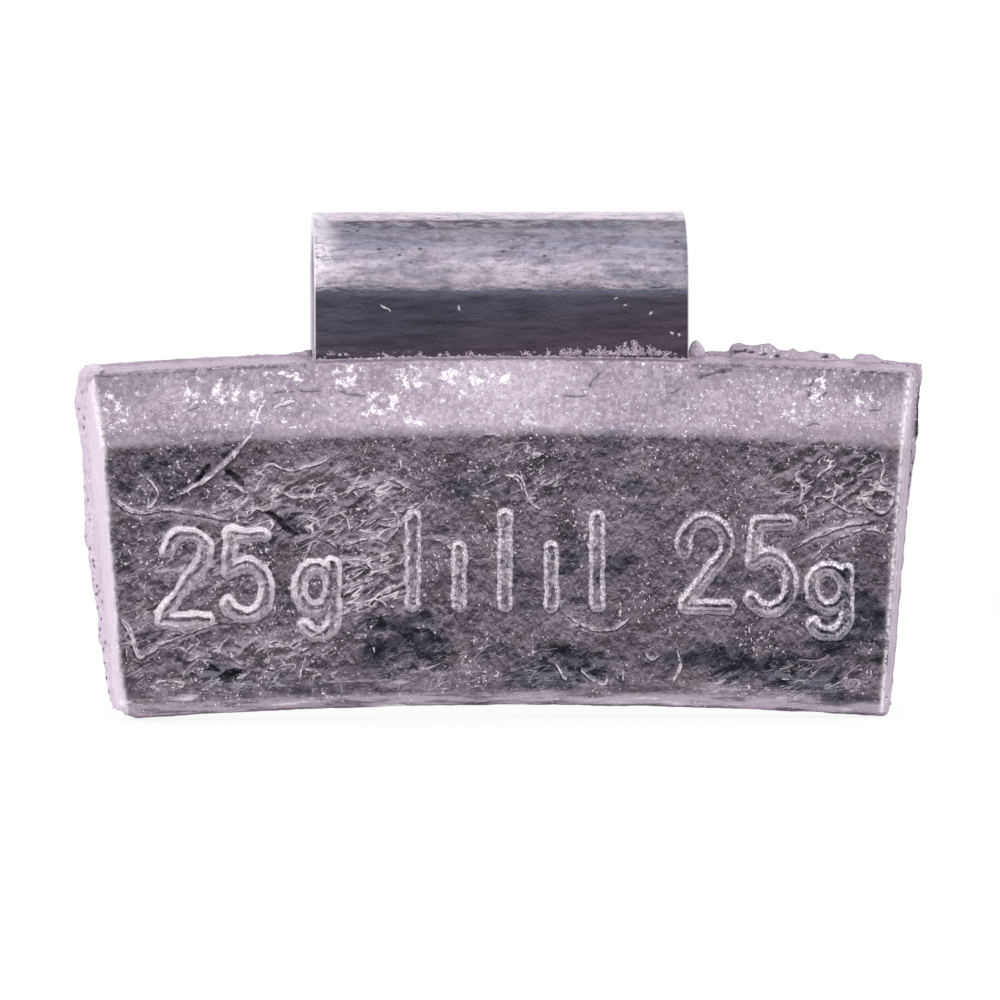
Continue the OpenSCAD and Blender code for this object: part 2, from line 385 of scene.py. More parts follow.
# How the foil's wrinkles are slanted and drawn out
FOIL_SLANT = [[0.75, 0, 0.35], [0, 1, 0], [-0.8, 0, 1.5]]
WRINKLE_FACET = 0.06
WRINKLE_CREST = 0.05
CREASE_H = 0.035
CREASE_HALF = 0.06

# Where the skin is most wrinkled: centre and half size in pixels, and strength
WRINKLE_ZONES = [
    ((370, 565), (48, 60), 1.0),
    ((320, 500), (130, 50), 0.85),
    ((250, 655), (125, 34), 0.62),
    ((190, 560), (80, 60), 0.45),
    ((830, 480), (75, 42), 0.9),
    ((520, 470), (60, 40), 0.6),
    ((150, 640), (50, 50), 0.6),
    ((480, 665), (160, 30), 0.35),
    ((790, 680), (100, 22), 0.5),
]
# How wrinkled the skin is everywhere else
CALM = 0.1
# Where the marks are rubbed down, where painted glints gather, and where painted shade darkens the face and
# the band
RUBBED_ZONES = [
    ((778, 521), (26, 9), 1.0),
    ((710, 606), (26, 7), 0.6),
    ((248, 534), (22, 8), 0.6),
    ((725, 580), (12, 18), 0.5),
]
SPARK_ZONES = [
    ((590, 462), (60, 30), 0.6),
    ((450, 470), (60, 26), 0.6),
    ((760, 462), (70, 28), 0.45),
    ((700, 585), (70, 60), 0.35),
    ((200, 575), (80, 50), 0.35),
    ((800, 396), (62, 36), 1.0),
    ((720, 408), (60, 26), 0.7),
    ((490, 385), (90, 34), 0.75),
    ((200, 404), (62, 28), 0.7),
    ((385, 405), (30, 22), 0.8),
]
# Where the band is splashed with white patches
SPLASH_ZONES = [
    ((190, 390), (9, 20), 1.0),
    ((224, 392), (26, 16), 0.75),
    ((116, 410), (18, 22), 0.8),
    ((256, 408), (10, 22), 0.8),
    ((344, 374), (16, 16), 1.0),
    ((280, 372), (30, 12), 0.7),
    ((378, 402), (24, 18), 0.9),
    ((410, 378), (24, 14), 0.8),
    ((412, 420), (16, 14), 0.9),
    ((470, 376), (50, 14), 0.75),
    ((528, 418), (12, 16), 0.7),
    ((816, 388), (18, 22), 0.7),
    ((864, 404), (22, 12), 0.7),
    ((786, 414), (14, 10), 0.8),
]
# Painted shade: soft darker zones on the face and the band
SHADE_ZONES = [
    ((550, 462), (18, 36), 0.9),
    ((563, 525), (15, 40), 1.0),
    ((160, 455), (56, 22), 0.7),
    ((870, 560), (26, 46), 0.8),
    ((120, 560), (18, 56), 0.6),
    ((870, 465), (26, 30), 0.8),
    ((660, 452), (18, 24), 0.6),
    ((650, 600), (24, 40), 0.6),
    ((340, 640), (110, 14), 0.7),
    ((300, 670), (130, 20), 0.9),
    ((440, 655), (60, 22), 0.35),
    ((755, 660), (90, 26), 0.6),
    ((540, 436), (420, 12), 0.5),
    ((872, 386), (34, 22), 0.8),
    ((126, 386), (34, 20), 0.8),
    ((296, 406), (36, 12), 0.8),
    ((232, 376), (26, 10), 0.6),
    ((660, 398), (44, 34), 0.5),
    ((236, 400), (64, 26), 0.6),
]
# Short creases among the wrinkles: pixels of area for each, which way they run, and how far they
# stray from it, in degrees; how much they bend at each step, and their steps' number and pixels
CREASE_AREA = 360
CREASE_HEADING = 24
CREASE_STRAY = 14
CREASE_BEND = 0.22
CREASE_STEPS = (4, 10)
CREASE_STEP = (3, 8)
CREASE_SEED = 11
# Smooth patches, where the skin still mirrors like the melt, and whose colour is a painted dark reflection
CALM_ZONES = [
    ((400, 655), (60, 24), 0.8),
    ((510, 650), (60, 22), 0.5),
    ((714, 662), (42, 28), 1.0),
    ((858, 600), (30, 46), 0.8),
    ((805, 662), (56, 30), 0.8),
    ((560, 665), (60, 25), 0.7),
    ((215, 665), (50, 16), 0.7),
    ((855, 560), (30, 40), 0.6),
    ((560, 545), (25, 40), 0.5),
    ((760, 470), (30, 30), 0.4),
]


def line_distance(places, line):
    """Distance of each place from a line, the side that it is on, and how far along it is."""
    best = np.full(len(places), np.inf)
    side = np.zeros(len(places))
    share = np.zeros(len(places))
    steps = np.linalg.norm(np.diff(line, axis=0), axis=1)
    starts = np.concatenate(([0], np.cumsum(steps)[:-1]))
    for a, b, start, step in zip(line[:-1], line[1:], starts, steps):
        d = b - a
        t = np.clip((places - a) @ d / (d @ d), 0, 1)
        off = places - a - t[:, None] * d
        far = np.hypot(off[:, 0], off[:, 1])
        nearer = far < best
        best[nearer] = far[nearer]
        side[nearer] = np.sign(d[0] * off[:, 1] - d[1] * off[:, 0])[nearer]
        share[nearer] = ((start + t * step) / steps.sum())[nearer]
    return best, side, share


CURVE_STEPS = 4


def curved(points):
    """A smooth line through a short list of points."""
    points = np.array(points, float)
    before = np.vstack([2 * points[0] - points[1], points[:-2]])
    after = np.vstack([points[2:], 2 * points[-1] - points[-2]])
    t = (np.arange(CURVE_STEPS) / CURVE_STEPS)[:, None]
    spans = [
        0.5 * (2 * b + (c - a) * t + (2 * a - 5 * b + 4 * c - d) * t**2 + (3 * b - a - 3 * c + d) * t**3)
        for a, b, c, d in zip(before, points[:-1], points[1:], after)
    ]
    return np.vstack([*spans, points[-1:]])


def pixels_of(places, y):
    """Pixels where places [x, z] at a depth show in the picture."""
    corner, far = np.array(at_pixel(0, 0, y)), np.array(at_pixel(PICTURE_PIXELS, PICTURE_PIXELS, y))
    return (places - corner) / (far - corner) * PICTURE_PIXELS


def zone_strength(places, zones, least):
    """How much of a skin's kind each place on the front has."""
    pixels = pixels_of(places, FRONT_Y)
    strength = np.full(len(places), float(least))
    for centre, half, most in zones:
        far = np.linalg.norm((pixels - centre) / half, axis=1)
        strength = np.maximum(strength, most * smooth(far, 1.2, 0.5))
    return strength


def crease_lines():
    """Short creases among the wrinkles, as lines of pixels."""
    chance = np.random.default_rng(CREASE_SEED)
    lines = []
    for centre, half, strength in WRINKLE_ZONES:
        for _ in range(int(half[0] * half[1] * strength / CREASE_AREA)):
            spot = centre + half * chance.uniform(-0.95, 0.95, 2)
            heading = math.radians(chance.normal(CREASE_HEADING, CREASE_STRAY))
            curl = chance.normal(0, CREASE_BEND)
            line = [spot]
            for _ in range(chance.integers(*CREASE_STEPS)):
                heading += curl + chance.normal(0, CREASE_BEND)
                step = chance.uniform(*CREASE_STEP)
                line.append(line[-1] + step * np.array((math.cos(heading), -math.sin(heading))))
            lines.append(line)
    return lines


def mark_distance(places):
    """Distance of each place from the nearest stroke of the cast marks."""
    strokes = RIGHT_MASS + LEFT_MASS + TICKS
    return np.min([line_distance(places, on_face(s))[0] for s in strokes], axis=0)


def sample(points, scale, seed):
    """Noise at each point, from -1 to 1."""
    shift = Vector((seed, 0.37 * seed, -0.61 * seed))
    return np.array([noise.noise(Vector(p) * scale + shift) for p in points])


class Skin:
    """The skin on the casting's front: its relief over the plain form, and what its finish reads."""

    def __init__(self, points):
        self.points, self.places = points, points[:, [0, 2]]
        self.band = smooth(points[:, 2], RIDGE_Z - 0.02, RIDGE_Z + 0.5)
        self.wrinkle = zone_strength(self.places, WRINKLE_ZONES, CALM) * (1 - 0.8 * self.band)
        self.warp = np.stack([sample(points, 1.3, seed=5), sample(points, 1.3, seed=9)], axis=-1)
        self.fine = np.stack([sample(points, 4.5, seed=15), sample(points, 4.5, seed=19)], axis=-1)
        self.bent = self.places + 0.1 * self.warp + 0.04 * self.fine
        self.relief = 0.03 * sample(points, 0.22, seed=31) + 0.02 * sample(points, 0.6, seed=37)
        # How far folds and cracks are, in shares of their half width
        self.fold = np.full(len(points), FIELD_REACH)
        self.crack = np.full(len(points), FIELD_REACH)

    def add_marks(self):
        """Strokes of the marks, with steep flanks and tops that sink a little."""
        shaky = self.places + (0.05 + 0.22 * self.wrinkle[:, None]) * self.warp + 0.05 * self.fine
        self.stroke_far = mark_distance(shaky)
        edge = STROKE_W / 2
        stroke = smooth(self.stroke_far, edge + STROKE_FLANK / 2, edge - STROKE_FLANK / 2)
        self.relief += STROKE_H * stroke * (1 - 0.3 * smooth(self.stroke_far, edge / 2, 0))

    def add_folds(self):
        """Laps with a lip, a slope behind it and an undercut before it, which is painted dark as shade."""
        uneven = 0.55 + 0.45 * np.clip(0.5 + 1.4 * sample(self.points, 1.1, seed=67), 0, 1)
        for lines, y in ((FOLDS, FRONT_Y), (BAND_FOLDS, BAND_Y)):
            for line, height, half in lines:
                far, side, share = line_distance(self.bent, on_face(curved(line), y))
                taper = smooth(share, -0.02, 0.14) * smooth(share, 1.02, 0.8) * uneven
                width = half * (0.4 + 0.6 * taper)
                lip = 0.7 * np.exp(-((far / half) ** 2)) * taper
                slope = np.exp(-far / (4 * half)) * taper * (side > 0)
                foot = np.where(side < 0, np.exp(-(((far - 1.9 * half) / half) ** 2)), 0) * taper
                self.relief += height * (0.75 * lip + 0.35 * slope - 0.4 * foot)
                self.fold = np.minimum(self.fold, far / width + 0.8 * (1 - taper))
                beside = np.where(side < 0, np.abs(far - 1.8 * half) / half, FIELD_REACH)
                self.crack = np.minimum(self.crack, 0.7 + beside + 1 - taper)

    def add_creases(self):
        for line in crease_lines():
            far, side, share = line_distance(self.bent, on_face(line))
            taper = smooth(share, -0.02, 0.3) * smooth(share, 1.02, 0.7)
            self.relief += CREASE_H * np.exp(-((far / CREASE_HALF) ** 2)) * taper
            self.fold = np.minimum(self.fold, far / (0.55 * CREASE_HALF) + 1.1 * (1 - taper))
            beside = np.where(side < 0, np.abs(far - 1.6 * CREASE_HALF) / CREASE_HALF, FIELD_REACH)
            self.crack = np.minimum(self.crack, 0.8 + beside + 1 - taper)

    def add_cracks(self):
        for lines, y in ((CRACKS, FRONT_Y), (BAND_CRACKS, BAND_Y)):
            for line, depth, half in lines:
                far, _, share = line_distance(self.bent, on_face(curved(line), y))
                taper = smooth(share, 0, 0.2) * smooth(share, 1, 0.8)
                self.relief -= depth * np.exp(-((far / half) ** 2)) * taper
                self.crack = np.minimum(self.crack, far / half + 1.2 * (1 - taper))

    def add_pits(self):
        for pixels, y in ((FACE_PITS, FRONT_Y), (BAND_PITS, BAND_Y)):
            for pit in on_face(pixels, y):
                far = np.hypot(*(self.bent - pit).T)
                self.relief -= PIT_DEPTH * np.exp(-((far / PIT_R) ** 2))
                self.crack = np.minimum(self.crack, far / (0.6 * PIT_R) + 0.3)

    def add_wrinkles(self):
        """Wrinkles like those of foil, that run up to the right."""
        slanted = self.points @ np.array(FOIL_SLANT).T
        slanted[:, [0, 2]] += 0.5 * self.warp
        facets = sample(slanted, 0.55, seed=41) + 0.5 * sample(slanted, 1.2, seed=47)
        crests = (1 - np.abs(sample(slanted, 0.7, seed=43))) ** 8
        crests += 0.6 * (1 - np.abs(sample(slanted, 1.5, seed=45))) ** 8
        self.relief += self.wrinkle * (WRINKLE_FACET * facets + WRINKLE_CREST * (crests - 0.3))
        self.relief += (0.010 + 0.012 * self.wrinkle) * sample(self.points, 2.3, seed=53)

    def fields(self):
        """What the lead's finish reads, by the names of its attributes."""
        calm = zone_strength(self.places, CALM_ZONES, 0) * (1 - smooth(self.wrinkle, 0.6, 0.9))
        return {
            "stroke_far": np.minimum(self.stroke_far, FIELD_REACH),
            "fold": self.fold,
            "crack": self.crack,
            "wrinkle": self.wrinkle,
            "calm": calm,
            "band": self.band,
            "rubbed": zone_strength(self.places, RUBBED_ZONES, 0),
            "spark": zone_strength(self.places, SPARK_ZONES, 0),
            "shade_zone": zone_strength(self.places, SHADE_ZONES, 0),
            "splash": zone_strength(self.places, SPLASH_ZONES, 0) * self.band,
        }


def front_skin(points):
    """The front's relief at the points, and the fields that go with it."""
    skin = Skin(points)
    skin.add_marks()
    skin.add_folds()
    skin.add_creases()
    skin.add_cracks()
    skin.add_pits()
    skin.add_wrinkles()
    return skin.relief, skin.fields()


# Casting: mesh

LENGTH_STEPS = 140
DEPTH_STEPS = 8
HEIGHT_STEPS = 60
MARK_REACH = 0.55
FOLD_REACH = 0.26
DENSE_WRINKLES = 0.6
BEVEL_HALF = 0.12
# The painted shadow line on the land at the clip's foot: its width, and the pixels of its height and ends
SEAM_W = 0.18
CLIP_FOOT_PY = 356
SEAM_ENDS = (584, 690)


def gridded_cube():
    """A unit cube whose faces are cut into even rows."""
    bm = bmesh.new()
    bmesh.ops.create_cube(bm, size=1)
    for axis, steps in enumerate((LENGTH_STEPS, DEPTH_STEPS, HEIGHT_STEPS)):
        edges = [e for e in bm.edges if abs(e.verts[0].co[axis] - e.verts[1].co[axis]) > 0.5]
        bmesh.ops.subdivide_edges(bm, edges=edges, cuts=steps - 1, use_grid_fill=True)
    return bm


def points_of(bm):
    return np.array([v.co for v in bm.verts])


def place_points(bm, points):
    for v, co in zip(bm.verts, points):
        v.co = co


def move_out(bm, lifts):
    """Moves each vertex out along its normal."""
    for v, lift in zip(bm.verts, lifts):
        v.co += v.normal * lift


def refine(bm, faces):
    """Halves the faces' edges."""
    edges = {e for f in faces for e in f.edges}
    bmesh.ops.subdivide_edges(bm, edges=list(edges), cuts=1, use_grid_fill=True)


def near_features(places):
    """Places on the front that need the finest mesh."""
    near = mark_distance(places) < MARK_REACH
    near |= zone_strength(places, WRINKLE_ZONES, CALM) > DENSE_WRINKLES
    for lines, y in ((FOLDS + CRACKS, FRONT_Y), (BAND_FOLDS + BAND_CRACKS, BAND_Y)):
        for line, *_ in lines:
            near |= line_distance(places, on_face(curved(line), y))[0] < FOLD_REACH
    return near


def meshed_cube():
    """A unit cube in rows that are finer away from the back, and finest near the front's features."""
    bm = gridded_cube()
    refine(bm, [f for f in bm.faces if f.calc_center_median().y < 0.5 - NEAR_ZERO])
    faces = [f for f in bm.faces if f.calc_center_median().y < -0.5 + NEAR_ZERO]
    centres = casting_shape(np.array([f.calc_center_median() for f in faces]))
    near = near_features(centres[:, [0, 2]])
    refine(bm, [f for f, chosen in zip(faces, near) if chosen])
    return bm


def make_casting():
    bm = meshed_cube()
    cube = points_of(bm)
    plain = casting_shape(cube)
    place_points(bm, plain)
    bm.normal_update()
    normals = np.array([v.normal for v in bm.verts])
    relief = 0.035 * sample(plain, 0.9, seed=71) + 0.02 * sample(plain, 2.6, seed=73)
    # The skin keeps to the plain form at the back edge, where the mould closed
    relief *= 1 - 0.7 * smooth(cube[:, 1], 0.3, 0.5)
    front = cube[:, 1] < -0.5 + NEAR_ZERO
    skin, fields = front_skin(plain[front])
    from_end = (0.5 - np.abs(cube[front, 0])) * BODY_LEN
    from_edge = (0.5 - np.abs(cube[front, 2])) * BODY_H
    inner = smooth(from_end, 0, 0.6) * smooth(from_edge, 0, 0.4)
    relief[front] += inner * (skin - relief[front])
    place_points(bm, plain + normals * relief[:, None])
    piece = finish_mesh(bm, "lead_casting")
    on_land = cube[:, 2] > 0.5 - NEAR_ZERO
    for name, values in fields.items():
        far_away = FIELD_REACH if name in DISTANCE_FIELDS else 0.0
        whole = np.full(len(cube), far_away, float)
        whole[front] = values if name == "band" else far_away + (values - far_away) * inner
        if name == "band":
            whole[on_land] = 1
        if name == "crack":
            whole = np.minimum(whole, np.where(on_land, clip_seam(plain), FIELD_REACH))
        add_attribute(piece, name, whole)
    at_end, bevel = end_fields(cube, plain)
    # The ends, the left one most, and the land are painted white as a highlight
    add_attribute(piece, "end", np.maximum(at_end, 0.5 * on_land))
    add_attribute(piece, "edge", bevel)
    return piece


def end_fields(cube, plain):
    """How far each place is part of an end, whose colour is a painted highlight, strongest at the left end,
    and of the painted highlight along its bevelled front edge.
    """
    left = cube[:, 0] < 0
    from_end = (0.5 - np.abs(cube[:, 0])) * BODY_LEN
    at_end = smooth(from_end, END_ROUND, 0) * smooth(cube[:, 1], 0.5, 0.45) * np.where(left, 1, 0.5)
    line_at = 0.6 * END_ROUND + np.where(left, 0, 0.1)
    bevel = np.exp(-(((from_end - line_at) / BEVEL_HALF) ** 2)) * (cube[:, 1] < -0.5 + NEAR_ZERO)
    by_ridge = smooth(np.abs(plain[:, 2] - RIDGE_Z), 1.8, 1)
    return at_end, bevel * np.where(left, 0.6 + 0.4 * by_ridge, 1.0)


def clip_seam(plain):
    """Distance on the land from the painted shadow line at the foot of the clip, in shares of its width."""
    first, last = (at_pixel(px, CLIP_FOOT_PY, LAND_Y)[0] for px in SEAM_ENDS)
    outside = 1 - smooth(plain[:, 0], first, first + 0.8) * smooth(plain[:, 0], last + 0.2, last)
    return 0.6 + np.abs(plain[:, 1] - LAND_Y - 0.2) / SEAM_W + 3 * outside


def finish_mesh(bm, name):
    """Turns the bmesh into a smooth object in metres, whose own place is the origin."""
    bmesh.ops.scale(bm, vec=(MM, MM, MM), verts=bm.verts)
    mesh = bpy.data.meshes.new(name)
    bm.to_mesh(mesh)
    bm.free()
    mesh.polygons.foreach_set("use_smooth", [True] * len(mesh.polygons))
    piece = bpy.data.objects.new(name, mesh)
    bpy.context.scene.collection.objects.link(piece)
    return piece


def add_attribute(piece, name, values):
    layer = piece.data.attributes.new(name, "FLOAT", "POINT")
    layer.data.foreach_set("value", values.astype(np.float32))


# Flash at the mould's parting line

FLASH_SINK = 0.3
FLASH_STEP = 0.08
FLASH_ROWS = 7
FLASH_LEAST = 0.04
FLASH_RIM = 0.12
FLASH_TAPER = 1.4
FLECK_R = 0.11
# The outlines of the flash, by the photograph's pixels
TOP_LEFT_OUTLINE = [
    (83, 371), (94, 364), (106, 365), (126, 366), (138, 367), (175, 364), (207, 361), (244, 357.5),
    (255, 353), (267, 355), (273, 357), (303, 349.5), (312, 350),
]
TOP_RIGHT_OUTLINE = [
    (689, 352), (715, 351), (726, 350), (730, 344), (738, 342), (750, 345), (766, 343), (773, 348),
    (783, 351), (790, 349), (796, 352), (809, 350), (818, 353), (830, 353), (840, 360), (848, 360),
    (856, 354), (869, 354), (881, 359), (905, 364), (922, 369),
]
LEFT_END_OUTLINE = [
    (88, 367), (81, 373), (76, 383), (74, 399), (77, 422), (82, 445), (83, 479), (85, 514),
    (84, 536), (88, 546), (92, 580), (98, 610), (98, 636), (101, 642), (105, 672), (109, 695),
    (116, 706),
]
END_FLECKS = [
    (82, 392), (84, 418), (84, 427), (79, 409), (86, 536), (93, 560), (93, 578), (96, 594),
    (97, 607), (99, 635), (913, 402), (912, 452), (913, 463), (90, 548), (94, 566), (97, 585),
    (101, 618), (100, 628), (103, 648), (104, 662), (106, 676), (108, 690), (102, 600),
    (99, 590), (105, 640), (911, 474), (909, 487), (906, 512), (903, 540), (99, 655), (88, 500),
    (90, 520),
]
# A dark strip down the right end: pixels of its top, its foot and its top's column, and its lean
STRIP_TOP, STRIP_FOOT, STRIP_PX, STRIP_LEAN = 390, 438, 921, 0.09
DARK_STRIP = [
    (STRIP_PX - STRIP_LEAN * (py - STRIP_TOP), py) for py in range(STRIP_TOP, STRIP_FOOT, 4)
]
TOP_FLECKS = [
    (104, 371), (736, 352), (744, 351), (752, 352), (764, 354), (777, 356), (826, 357), (884, 364),
]
# The flecks with their width and height, in shares of their radius
FLECKS = [(END_FLECKS, 0.8, 1.7), (DARK_STRIP, 1.8, 2.4), (TOP_FLECKS, 3.2, 1.3)]
RIGHT_END_OUTLINE = [
    (922, 369), (920, 391), (917, 432), (912.5, 473), (909, 499), (907, 512), (902, 561), (898, 602),
    (895, 643), (890, 696), (889, 704),
]


def with_flecks(piece):
    """Gives a piece of flash the distance of its surface from the nearest dark fleck."""
    co = np.array([v.co for v in piece.data.vertices]) / MM
    far = np.full(len(co), FIELD_REACH)
    for flecks, wide, tall in FLECKS:
        for x, z in on_face(flecks, BACK_Y - 0.5):
            far = np.minimum(far, np.hypot((co[:, 0] - x) / wide, (co[:, 2] - z) / tall))
    add_attribute(piece, "crack", np.minimum(far / FLECK_R + 0.35, FIELD_REACH))
    return piece


def make_fin(name, path, heights, root, rim, seed, rough=1.0):
    """A ragged wedge of lead along a path on the parting line, thick at its root and thin at its rim."""
    base, out = path
    bm = bmesh.new()
    bmesh.ops.create_grid(bm, x_segments=len(base) - 1, y_segments=FLASH_ROWS, size=0.5)
    rise = bm.verts.layers.float.new("rise")
    back = bm.verts.layers.float.new("back")
    places = np.arange(len(base)) / (len(base) - 1)
    for v in bm.verts:
        share, up = v.co.x + 0.5, v.co.y + 0.5
        tall = np.interp(share, places, heights)
        foot = Vector([np.interp(share, places, base[:, i]) for i in range(3)])
        v[rise] = up
        v[back] = foot.y
        v.co = foot + Vector(out) * (up * (tall + FLASH_SINK) - FLASH_SINK)
    bmesh.ops.recalc_face_normals(bm, faces=bm.faces)
    if bm.faces[:][0].normal.y < 0:
        bmesh.ops.reverse_faces(bm, faces=bm.faces)
    bmesh.ops.solidify(bm, geom=bm.faces[:], thickness=rim)
    bmesh.ops.recalc_face_normals(bm, faces=bm.faces)
    for v in bm.verts:
        if v.co.y < v[back] - rim / 2:
            v.co.y = v[back] - rim - (root - rim) * (1 - v[rise]) ** FLASH_TAPER
    bm.normal_update()
    co = points_of(bm)
    move_out(bm, rough * (0.05 * sample(co, 1.5, seed) + 0.02 * sample(co, 4, seed + 3)))
    return with_flecks(finish_mesh(bm, name))


def rim_point(x, y=BACK_Y):
    """Points on the arc of the casting's top, at a depth."""
    return np.stack([x, np.full_like(x, y), ARC_Z + np.sqrt(RIM_R**2 - x**2)], axis=-1)


def outline_heights(base, outline, side, seed):
    """How far the outline stands out of a path's points: upwards, or to a side."""
    outline = np.array(outline)
    heights = []
    for x, y, z in base:
        px, py = pixels_of(np.array([[x, z]]), y)[0]
        if side == 0:
            top = np.interp(px, outline[:, 0], outline[:, 1])
            heights.append(at_pixel(px, top, y)[1] - z)
        else:
            aside = np.interp(py, outline[:, 1], outline[:, 0])
            heights.append(side * (at_pixel(aside, py, y)[0] - x))
    ragged = 0.05 * sample(base, 1.9, seed) + 0.03 * sample(base, 5.5, seed + 5)
    return np.maximum(np.array(heights) + ragged - 0.02, FLASH_LEAST + 0.4 * ragged)


def top_fin(name, first, last, outline, root, seed):
    x = np.linspace(first, last, int((last - first) / FLASH_STEP))
    base = rim_point(x)
    heights = outline_heights(base, outline, 0, seed)
    return make_fin(name, (base, (0, 0, 1)), heights, root, FLASH_RIM, seed)


def end_fin(name, side, outline, root, seed):
    z = END_Z - np.linspace(0, BODY_H - HEEL_ROUND, int(BODY_H / FLASH_STEP))
    y = BACK_Y - np.clip((SEAT_Z - z) / (SEAT_Z - FOOT_Z), 0, 1) * (BACK_Y - HEEL_Y)
    corner = LEFT_TOP_ROUND if side < 0 else END_ROUND
    up = np.maximum(z - END_Z + corner, 0) / corner
    base = np.stack([side * (end_x(y, z) - corner * (1 - np.sqrt(1 - up**2))), y, z], axis=-1)
    heights = outline_heights(base, outline, side, seed)
    return make_fin(name, (base, (side, 0, 0)), heights, root, FLASH_RIM, seed)


def make_lump(name, pixel, y, size, seed):
    """A drop of lead that froze on the parting line."""
    x, z = at_pixel(*pixel, y)
    bm = bmesh.new()
    bmesh.ops.create_icosphere(bm, subdivisions=4, radius=1)
    bmesh.ops.scale(bm, vec=size, verts=bm.verts)
    bmesh.ops.translate(bm, vec=(x, y, z), verts=bm.verts)
    bm.normal_update()
    move_out(bm, 0.16 * sample(points_of(bm), 1.6, seed))
    return with_flecks(finish_mesh(bm, name))


FRILL_Y = -CURL_R - CLIP_T
FRILL_POINTS = 560
# Pixels of the frills' ends, and of the place from where they are taller
FRILL_ENDS = (311, 690)
FRILLY_PX = 557


def make_frills():
    """Frills of lead that climbed the front of the clip where it goes into the casting."""
    first, last, frilly = (at_pixel(px, CLIP_FOOT_PY, FRILL_Y)[0] for px in (*FRILL_ENDS, FRILLY_PX))
    x = np.linspace(first, last, FRILL_POINTS)
    base = rim_point(x, FRILL_Y + 0.06)
    base[:, 2] -= LAND_FALL * (BACK_Y - FRILL_Y) / LAND_T
    gaps = smooth(sample(base, 1.1, seed=97), -0.25, 0.1)
    tall = 0.1 + 0.1 * smooth(x, frilly, frilly + 1.2) * smooth(x, CLIP_W / 2, CLIP_W / 2 - 0.6)
    heights = 0.03 + tall * np.abs(sample(base, 4.1, seed=83)) * 2 * (0.3 + 0.7 * gaps)
    path = (base, (0, 0, 1))
    return make_fin("lead_frills", path, heights, root=0.16, rim=0.07, seed=91, rough=0.5)


# Tufts of crystals on the frills, by the photograph's pixels: middle, top and half width
TUFTS = [
    (548, 347, 2), (562, 349, 4), (570, 347, 6), (578, 348, 4), (591, 349, 5), (599, 343, 3),
    (604, 347, 6), (612, 350, 6), (619, 346, 5), (625, 339, 1.5), (627, 346, 5), (635, 338, 4),
    (634, 345, 6), (641, 346, 4), (650, 341, 1.5), (654, 347, 4), (659, 350, 4), (670, 352, 6),
    (384, 353, 3), (420, 354, 4), (447, 353, 4), (470, 354, 6), (500, 354, 4), (526, 353, 5),
    (330, 354, 4), (345, 353, 3),
]
TUFT_FOOT = 355
TUFT_AREA = 2.6
THREAD_R = 0.017
CRYSTAL_SEED = 91


def make_crystals():
    """Tufts of bent threads of lead that stand on the frills in front of the clip."""
    chance = np.random.default_rng(CRYSTAL_SEED)
    whole = bmesh.new()
    for middle, top, half in TUFTS:
        bm = bmesh.new()
        tall = TUFT_FOOT - top
        for _ in range(int(4 + 2 * half * tall / TUFT_AREA)):
            up = chance.uniform(0, 1) ** 1.5
            aside = chance.normal(0, half * (0.65 - 0.4 * up))
            x, z = at_pixel(middle + aside, TUFT_FOOT - 0.75 * up * tall, FRILL_Y)
            place = Vector((x, FRILL_Y - chance.uniform(0, 0.1), z))
            heading, bend = chance.normal(0, 0.9), chance.normal(0, 0.5)
            thick = THREAD_R * chance.uniform(0.6, 1.5)
            for _ in range(chance.integers(1, 4)):
                far = chance.uniform(0.03, 0.06)
                step = Vector((math.sin(heading), 0, math.cos(heading))) * far
                made = bmesh.ops.create_icosphere(bm, subdivisions=1, radius=1)["verts"]
                bmesh.ops.scale(bm, vec=(thick, thick, far), verts=made)
                bmesh.ops.rotate(bm, matrix=Matrix.Rotation(heading, 3, "Y"), verts=made)
                bmesh.ops.translate(bm, vec=place, verts=made)
                place += 1.5 * step
                heading += bend
        tuft = bpy.data.meshes.new("tuft")
        bm.to_mesh(tuft)
        bm.free()
        whole.from_mesh(tuft)
        bpy.data.meshes.remove(tuft)
    return with_flecks(finish_mesh(whole, "lead_crystals"))


# Clip

CLIP_COLUMNS = 48
STRIP_ROWS = 0.3
CURL_STEPS = 60
TIP_STEPS = 8
EDGE_ROUND = 0.07
SHARP_EDGE = math.radians(60)


def sweep(bm, edges, steps, move):
    """Draws a row of edges out in steps, each moved on from the last."""
    for _ in range(steps):
        made = bmesh.ops.extrude_edge_only(bm, edges=edges)["geom"]
        verts = [g for g in made if isinstance(g, bmesh.types.BMVert)]
        edges = [g for g in made if isinstance(g, bmesh.types.BMEdge) and set(g.verts) <= set(verts)]
        move(verts)
    return edges


